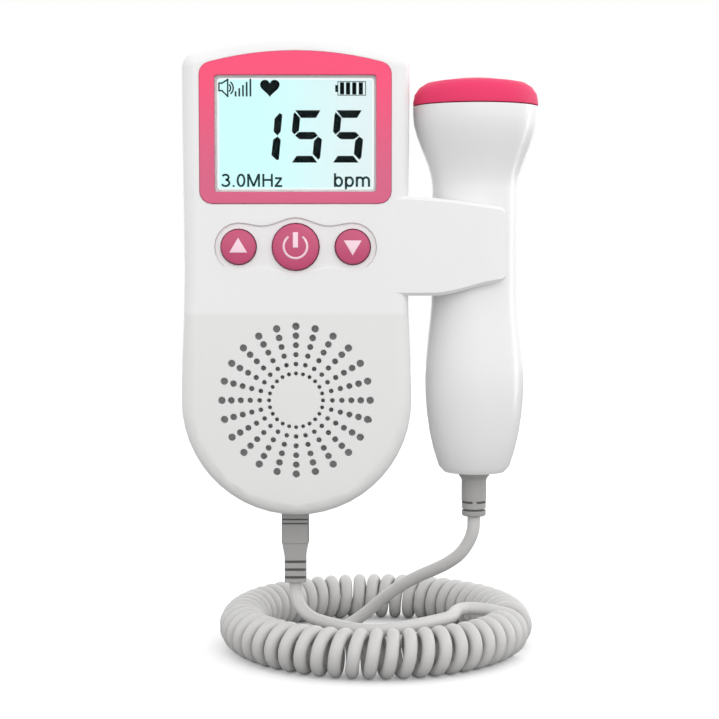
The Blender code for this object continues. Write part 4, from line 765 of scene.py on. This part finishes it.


# Painted shade in the grooves of the plug, its boot and the strain relief.
painted_groove_shade = make_finish("painted_groove_shade", srgb(112, 111, 110), 0.7, grain=(1600.0, 0.8), specular=0.2)
finish_where("plug_body", painted_groove_shade, lambda x, y, height, normal: (
    between(height, PLUG_GROOVES) and between(y, PLUG_FACE)))
finish_where("plug_boot", painted_groove_shade, lambda x, y, height, normal: (
    (between(y, BOOT_FRONT) or between(y, BOOT_BACK))
    and any(between(height, (top - BOOT_GROOVE_HIGH - 0.02, top + 0.02)) for top in BOOT_GROOVES)))
finish_where("probe_strain_relief", painted_groove_shade, lambda x, y, height, normal: (
    math.hypot(x - PROBE_X, y - PROBE_Y) < RELIEF_BODY - 0.14
    and between(height, (GROOVE_LOW[1] - 0.05, GROOVE_HIGH[0] + 0.05))))

# %% [markdown]
# The display lights up from behind, so its panel gives off light of its own: a pale cyan, a little whiter
# towards the right where the light guide ends. A narrow border is painted white, a painted highlight for
# the pale rim round the view. The border is the least of the distances to the four sides of the view. The
# window in front is thin clear acrylic.

# %% Display panel and window
VIEW_HALF, VIEW_LOW, VIEW_HIGH = 22.6, 91.6, 124.0
BORDER_START, BORDER_END = 1.3, 0.9
CYAN_LEFT, PALE_RIGHT = -12, 22
lcd_glow, tree, shader = new_material("lcd_glow", Base_Color=srgb(60, 80, 80), Roughness=0.4,
                                      Emission_Strength=0.92)
place = axes(tree)
whiter = ramp_node(tree, place["X"], CYAN_LEFT * MM, PALE_RIGHT * MM)
glow = mix_node(tree, whiter, srgb(209, 252, 251), srgb(229, 240, 242))
from_side = math_node(tree, "SUBTRACT", VIEW_HALF * MM, math_node(tree, "ABSOLUTE", place["X"]))
from_low = math_node(tree, "SUBTRACT", place["Z"], at(0, 0, VIEW_LOW).z)
from_high = math_node(tree, "SUBTRACT", at(0, 0, VIEW_HIGH).z, place["Z"])
from_rim = math_node(tree, "MINIMUM", from_side, math_node(tree, "MINIMUM", from_low, from_high))
# Painted highlight: the glow turns white near the edges of the view.
painted_border_light = ramp_node(tree, from_rim, BORDER_START * MM, BORDER_END * MM)
tree.links.new(mix_node(tree, painted_border_light, glow, WHITE), shader.inputs["Emission Color"])
put_finish(lcd_glow, "lcd_panel")
clear_window = new_material("clear_window", Base_Color=(0.97, 1.0, 1.0, 1.0), Roughness=0.02,
                            Transmission_Weight=1.0, IOR=1.12)[0]
put_finish(clear_window, "display_window")

# %% [markdown]
# The marks on the display are thin plates on the panel, so they stay sharp from any side. The big figures
# are the usual slanted seven-segment kind, with hairline gaps between the segments. They are drawn as
# outlines in millimetres, and one function turns a list of outlines into one closed mesh.

# %% Plates on the display
LCD_FACE = -31.3
MARK_THICKNESS = 0.05


def plates(name, outlines, face, thickness):
    """Flat plates with the given outlines, standing forward of a face that looks to the front."""
    points = []
    faces = []
    for outline in outlines:
        start, count = len(points), len(outline)
        for depth in (face - thickness, face):
            points += [at(x, depth, height) for x, height in outline]
        faces.append(tuple(range(start, start + count)))
        faces.append(tuple(range(start + count, start + 2 * count)))
        faces += quads(start, start + count, count)
    return add_mesh(name, points, faces)


def marks(name, outlines):
    piece = plates(name, outlines, LCD_FACE, MARK_THICKNESS)
    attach(piece, "unit")
    print(name, "plates:", len(outlines))
    return piece


def grow(outline, by):
    """The outline with every side moved outwards, for one that runs either way round."""
    sides = zip(outline, outline[1:] + outline[:1])
    by = math.copysign(by, sum(ax * bz - bx * az for (ax, az), (bx, bz) in sides))
    grown = []
    for k, (x, z) in enumerate(outline):
        ways = []
        for (ax, az), (bx, bz) in ((outline[k - 1], (x, z)), ((x, z), outline[(k + 1) % len(outline)])):
            length = math.hypot(bx - ax, bz - az)
            ways.append(((bz - az) / length, (ax - bx) / length))
        share = by / (1 + ways[0][0] * ways[1][0] + ways[0][1] * ways[1][1])
        grown.append((x + (ways[0][0] + ways[1][0]) * share, z + (ways[0][1] + ways[1][1]) * share))
    return grown


# %% The three figures
ONE = [[(-4.45, 113.5), (-3.85, 113.1), (-4.3, 108.6), (-5.1, 107.55), (-6.07, 108.57), (-5.78, 112.05)],
       [(-5.1, 106.95), (-4.3, 106.15), (-4.85, 100.75), (-5.3, 100.65), (-6.7, 101.95), (-6.22, 106.15)]]
FIVE = [[(0.11, 114.3), (6.76, 114.3), (5.6, 112.4), (1.58, 112.4)],
        [(-0.28, 113.7), (1.15, 112.25), (0.8, 108.85), (-0.36, 107.8), (-0.96, 108.57), (-0.52, 113.1)],
        [(0.86, 108.25), (5.25, 108.25), (6.05, 107.35), (4.72, 106.45), (1.14, 106.45), (0.0, 107.35)],
        [(6.3, 106.95), (7.24, 106.25), (6.74, 101.3), (6.29, 100.8), (4.88, 102.3), (5.24, 105.85)],
        [(0.32, 101.6), (4.53, 101.6), (5.83, 99.95), (-0.84, 99.95)]]
NEXT_FIGURE = 11.55
figures = ONE + FIVE + [[(x + NEXT_FIGURE, z) for x, z in outline] for outline in FIVE]
FIGURE_GROWTH = 0.12
digits = marks("display_figures", [grow(outline, FIGURE_GROWTH) for outline in figures])


# %% Outlines of the small signs
def rectangle(left, right, low, high):
    return [(left, low), (right, low), (right, high), (left, high)]


def arc(centre_x, centre_z, half_wide, half_high, start, end, steps=12):
    """Points on an oval, from one angle to another, in degrees."""
    angles = [math.radians(start + (end - start) * k / steps) for k in range(steps + 1)]
    return [(centre_x + half_wide * math.cos(a), centre_z + half_high * math.sin(a)) for a in angles]


def stroke(points, width):
    """Plates that follow a broken line, one for each leg."""
    legs = []
    for (ax, az), (bx, bz) in zip(points, points[1:]):
        length = math.hypot(bx - ax, bz - az)
        ux, uz = (bx - ax) / length * width / 2, (bz - az) / length * width / 2
        ax, az, bx, bz = ax - ux, az - uz, bx + ux, bz + uz
        legs.append([(ax - uz, az + ux), (bx - uz, bz + ux), (bx + uz, bz - ux), (ax + uz, az - ux)])
    return legs


def heart(centre_x, low, width, height, steps=40):
    outline = []
    for k in range(steps):
        t = 2 * math.pi * k / steps
        z = (13 * math.cos(t) - 5 * math.cos(2 * t) - 2 * math.cos(3 * t) - math.cos(4 * t) + 17) / 29
        outline.append((centre_x + math.sin(t) ** 3 * width / 2, low + z * height))
    return outline


# %% Small signs on the display
THIN_LINE, WAVE_LINE, HORN_LINE = 0.22, 0.4, 0.42
signs = [heart(-7.2, 117.95, 5.5, 4.95), rectangle(11.1, 11.75, 119.5, 121.4)]
signs += [rectangle(left, left + 1.18, 118.8, 122.15) for left in (12.42, 14.1, 15.85, 17.68)]
battery_rim = [(11.85, 118.6), (19.6, 118.6), (19.6, 122.35), (11.85, 122.35), (11.85, 118.6)]
bars = [rectangle(-17.05 + 1.04 * k, -16.55 + 1.04 * k, 118.25, 119.7 + 0.86 * k) for k in range(5)]
horn = [(-21.45, 119.85), (-21.45, 121.95), (-20.6, 121.95), (-19.0, 122.95), (-19.0, 118.3),
        (-20.6, 119.85), (-21.45, 119.85)]
waves = [arc(-19.6, 120.6, radius, radius, -half, half, 8) for radius, half in ((1.4, 38), (2.15, 46))]
dark_signs = marks("display_signs", signs)
thin_signs = marks("display_thin_signs", stroke(battery_rim, THIN_LINE) + bars + stroke(horn, HORN_LINE)
                   + stroke(waves[0], WAVE_LINE) + stroke(waves[1], WAVE_LINE))

# %% [markdown]
# The two units of measure are printed in a plain sans serif. A text object would be quick, but its letters
# come out thinner than the printed ones. So each letter is the width that it takes up and a few strokes,
# straight or round, in shares of the letter's size. The word is scaled to its width on the display.

# %% Letters of the units
LETTER_LINE = 0.116


def band(points, width):
    """One outline round a line, at half the width to either side."""
    left, right = [], []
    for k, (x, z) in enumerate(points):
        (ax, az), (bx, bz) = points[max(k - 1, 0)], points[min(k + 1, len(points) - 1)]
        length = math.hypot(bx - ax, bz - az)
        side_x, side_z = (az - bz) / length * width / 2, (bx - ax) / length * width / 2
        left.append((x + side_x, z + side_z))
        right.append((x - side_x, z - side_z))
    return left + right[::-1]


def both_halves(*oval):
    return [arc(*oval, 90, 270), arc(*oval, -90, 90)]


BOWL = both_halves(0.287, 0.26, 0.178, 0.222)
LETTERS = {
    "3": (0.556, [arc(0.245, 0.531, 0.18, 0.142, 155, -90), arc(0.245, 0.216, 0.216, 0.173, 90, -158)]),
    ".": (0.278, [[(0.14, 0), (0.14, 0.1)]]),
    "0": (0.556, both_halves(0.276, 0.357, 0.188, 0.316)),
    "M": (0.833, [[(0.118, 0), (0.118, 0.716)], [(0.13, 0.7), (0.417, 0.03)],
                  [(0.417, 0.03), (0.704, 0.7)], [(0.716, 0), (0.716, 0.716)]]),
    "H": (0.722, [[(0.125, 0), (0.125, 0.716)], [(0.597, 0), (0.597, 0.716)],
                  [(0.125, 0.382), (0.597, 0.382)]]),
    "z": (0.5, [[(0.045, 0.476), (0.43, 0.476)], [(0.4, 0.47), (0.085, 0.05)],
                [(0.03, 0.044), (0.452, 0.044)]]),
    "b": (0.556, [[(0.11, 0), (0.11, 0.69)]] + BOWL),
    "p": (0.556, [[(0.11, -0.26), (0.11, 0.518)]] + BOWL),
    "m": (0.833, [[(0.11, 0), (0.11, 0.518)], arc(0.264, 0.33, 0.154, 0.148, 175, 0) + [(0.418, 0)],
                  arc(0.572, 0.33, 0.154, 0.148, 175, 0) + [(0.726, 0)]]),
}


def word(name, letters, left, right, baseline):
    outlines = []
    start = 0
    for letter in letters:
        advance, lines = LETTERS[letter]
        outlines += [[(start + x, z) for x, z in band(line, LETTER_LINE)] for line in lines]
        start += advance
    across = [x for outline in outlines for x, z in outline]
    size = (right - left) / (max(across) - min(across))
    return marks(name, [[(left + (x - min(across)) * size, baseline + z * size) for x, z in outline]
                        for outline in outlines])


# %% Units on the display, and the ink of all the marks
BASELINE = 93.05
rate_unit = word("display_rate_unit", "bpm", 10.7, 20.88, BASELINE)
frequency = word("display_frequency", "3.0MHz", -21.0, -3.8, BASELINE)
ink = make_finish("display_ink", (0.002, 0.006, 0.007, 1.0), 0.6, specular=0.0)
pale_ink = make_finish("display_pale_ink", srgb(38, 68, 72), 0.6, specular=0.0)
put_finish(ink, digits, dark_signs)
put_finish(pale_ink, thin_signs, rate_unit, frequency)

# %% [markdown]
# The signs on the buttons are printed on domed tops, so they have to follow the dome. A plate with the
# sign's outline is cut out of a thin copy of the dome with a Boolean, which leaves a film that hugs the
# button all over.

# %% Film over a button's dome
BUTTON_HEIGHT = 76.2
BUTTON_PROUD, BUTTON_CROWN, FILM = 0.9, 0.6, 0.05
FILM_REACH = 0.95


def dome_depth(radius, far):
    return FRONT - BUTTON_PROUD - BUTTON_CROWN * (1 - (radius / far) ** 2)


def dome_film(name, centre_x, radius, rings=10, sides=48):
    """A thin skin over a button's domed top."""
    points = []
    faces = []
    for lift in (FILM, -FILM):
        start = len(points)
        points.append(at(centre_x, dome_depth(0, radius) - lift, BUTTON_HEIGHT))
        for ring in range(1, rings + 1):
            r = FILM_REACH * radius * ring / rings
            for k in range(sides):
                a = 2 * math.pi * k / sides
                points.append(at(centre_x + r * math.cos(a), dome_depth(r, radius) - lift,
                                 BUTTON_HEIGHT + r * math.sin(a)))
        faces += [(start, start + 1 + k, start + 1 + (k + 1) % sides) for k in range(sides)]
        for ring in range(rings - 1):
            faces += quads(start + 1 + ring * sides, start + 1 + (ring + 1) * sides, sides)
    rim = 1 + (rings - 1) * sides
    return add_mesh(name, points, faces + quads(rim, start + rim, sides))


def button_sign(name, body, centre_x, radius, outlines):
    film = dome_film(name, centre_x, radius)
    tool = plates(name + "_tool", outlines, FRONT, 3.0)
    cut = film.modifiers.new("outline", "BOOLEAN")
    cut.operation = "INTERSECT"
    cut.solver = "EXACT"
    cut.object = tool
    bpy.context.view_layer.update()
    mesh = bpy.data.meshes.new_from_object(film.evaluated_get(bpy.context.evaluated_depsgraph_get()))
    film.modifiers.clear()
    film.data = mesh
    bpy.data.objects.remove(tool)
    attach(film, body)
    print(name, "faces:", len(mesh.polygons))
    return film


# %% Signs on the buttons
SMALL_BUTTON, LARGE_BUTTON = 4.86, 6.5
POWER_RING, POWER_LINE, POWER_OPENING = 3.3, 0.62, 36
power_middle = (0, BUTTON_HEIGHT + 0.15)
power_sides = [arc(*power_middle, radius, radius, 90 + POWER_OPENING, 450 - POWER_OPENING, 40)
               for radius in (POWER_RING + POWER_LINE / 2, POWER_RING - POWER_LINE / 2)]
power_sign = button_sign("power_sign", "power_button", 0, LARGE_BUTTON, [
    power_sides[0] + power_sides[1][::-1],
    rectangle(-0.72, 0.72, BUTTON_HEIGHT - 0.2, BUTTON_HEIGHT + 4.1)])
up_sign = button_sign("volume_up_sign", "volume_up_button", -16, SMALL_BUTTON, [
    [(-18.5, 74.6), (-13.5, 74.6), (-16, 78.8)]])
down_sign = button_sign("volume_down_sign", "volume_down_button", 16, SMALL_BUTTON, [
    [(13.5, 78.0), (16, 73.8), (18.5, 78.0)]])
put_finish(make_finish("sign_print", srgb(252, 218, 230), 0.45), power_sign, up_sign, down_sign)

# %% [markdown]
# The photograph's ground is pure white, yet the object's lower side is dark, so little light came up from
# below. Light Path makes both true: what the camera sees directly is white, and the light that the floor
# sends on is much weaker. Nearly all the light comes from the room itself. It is strongest at the height of
# the horizon and weaker overhead, as in a white tent with lamps at its sides, and that is why upright faces
# look brighter than those that look up or down. It is weaker on the left, and a little on the right, which
# shades the sides of the probe.
# A small softbox helps from the front, and a narrow strip at the right only makes a highlight: the lamp's
# diffuse visibility is off, so it draws a bright line down the probe and doesn't light it.

# %% Floor
FLOOR_HALF = 1.2
corners = [(x * FLOOR_HALF, y * FLOOR_HALF, at(0, 0, FLOOR).z)
           for x, y in ((-1, -1), (1, -1), (1, 1), (-1, 1))]
ground = add_mesh("floor", corners, [(0, 1, 2, 3)])
paper, tree, shader = new_material("floor_paper", Roughness=1.0, Specular_IOR_Level=0.0,
                                   Emission_Color=WHITE)
by_camera = tree.nodes.new("ShaderNodeLightPath").outputs["Is Camera Ray"]
paper_color = mix_node(tree, by_camera, (0.36, 0.36, 0.36, 1.0), (0.96, 0.96, 0.96, 1.0))
tree.links.new(paper_color, shader.inputs["Base Color"])
tree.links.new(math_node(tree, "MULTIPLY", by_camera, 0.15), shader.inputs["Emission Strength"])
put_finish(paper, ground)

# %% Room
AT_HORIZON, AT_ZENITH = 1.79, 1.05
LESS_LEFT, LESS_RIGHT = 0.4, 0.16
world = bpy.data.worlds.new("room")
bpy.context.scene.world = world
world.use_nodes = True
tree = world.node_tree
room = tree.nodes["Background"]
room.inputs["Color"].default_value = WHITE
way = axes(tree, "Generated")
overhead = tree.nodes.new("ShaderNodeMapRange")
set_sockets(overhead, {"To Min": AT_HORIZON, "To Max": AT_ZENITH})
tree.links.new(way["Z"], overhead.inputs["Value"])
from_left = math_node(tree, "MULTIPLY", math_node(tree, "MINIMUM", way["X"], 0.0), -LESS_LEFT)
from_right = math_node(tree, "MULTIPLY", math_node(tree, "MAXIMUM", way["X"], 0.0), LESS_RIGHT)
side = math_node(tree, "SUBTRACT", math_node(tree, "SUBTRACT", 1.0, from_left), from_right)
by_camera = tree.nodes.new("ShaderNodeLightPath").outputs["Is Camera Ray"]
level = mix_node(tree, by_camera, math_node(tree, "MULTIPLY", overhead.outputs[0], side), 1.0, "FLOAT")
tree.links.new(level, room.inputs["Strength"])
bpy.context.scene.view_settings.view_transform = "Standard"
print("room light at the horizon and overhead:", AT_HORIZON, AT_ZENITH)


# %% Lights
AIM = at(18, -20, 55)
KEY_PLACE, KEY_SIZE, KEY_POWER = Vector((0.3, -0.75, 0.5)), 0.35, 0.5
STRIP_PLACE, STRIP_WIDE, STRIP_HIGH, STRIP_POWER = Vector((0.42, 0.12, 0.0)), 0.04, 0.6, 0.5


def softbox(name, place, wide, high, power, diffuse=True):
    data = bpy.data.lights.new(name, "AREA")
    data.shape = "RECTANGLE"
    data.size = wide
    data.size_y = high
    data.energy = power
    lamp = bpy.data.objects.new(name, data)
    bpy.context.scene.collection.objects.link(lamp)
    lamp.location = place
    lamp.rotation_euler = (AIM - place).to_track_quat("-Z", "Y").to_euler()
    lamp.visible_diffuse = diffuse
    print(name, "in metres:", wide, "by", high, "with", power, "W")


softbox("key", KEY_PLACE, KEY_SIZE, KEY_SIZE, KEY_POWER)
softbox("rim", STRIP_PLACE, STRIP_WIDE, STRIP_HIGH, STRIP_POWER, diffuse=False)
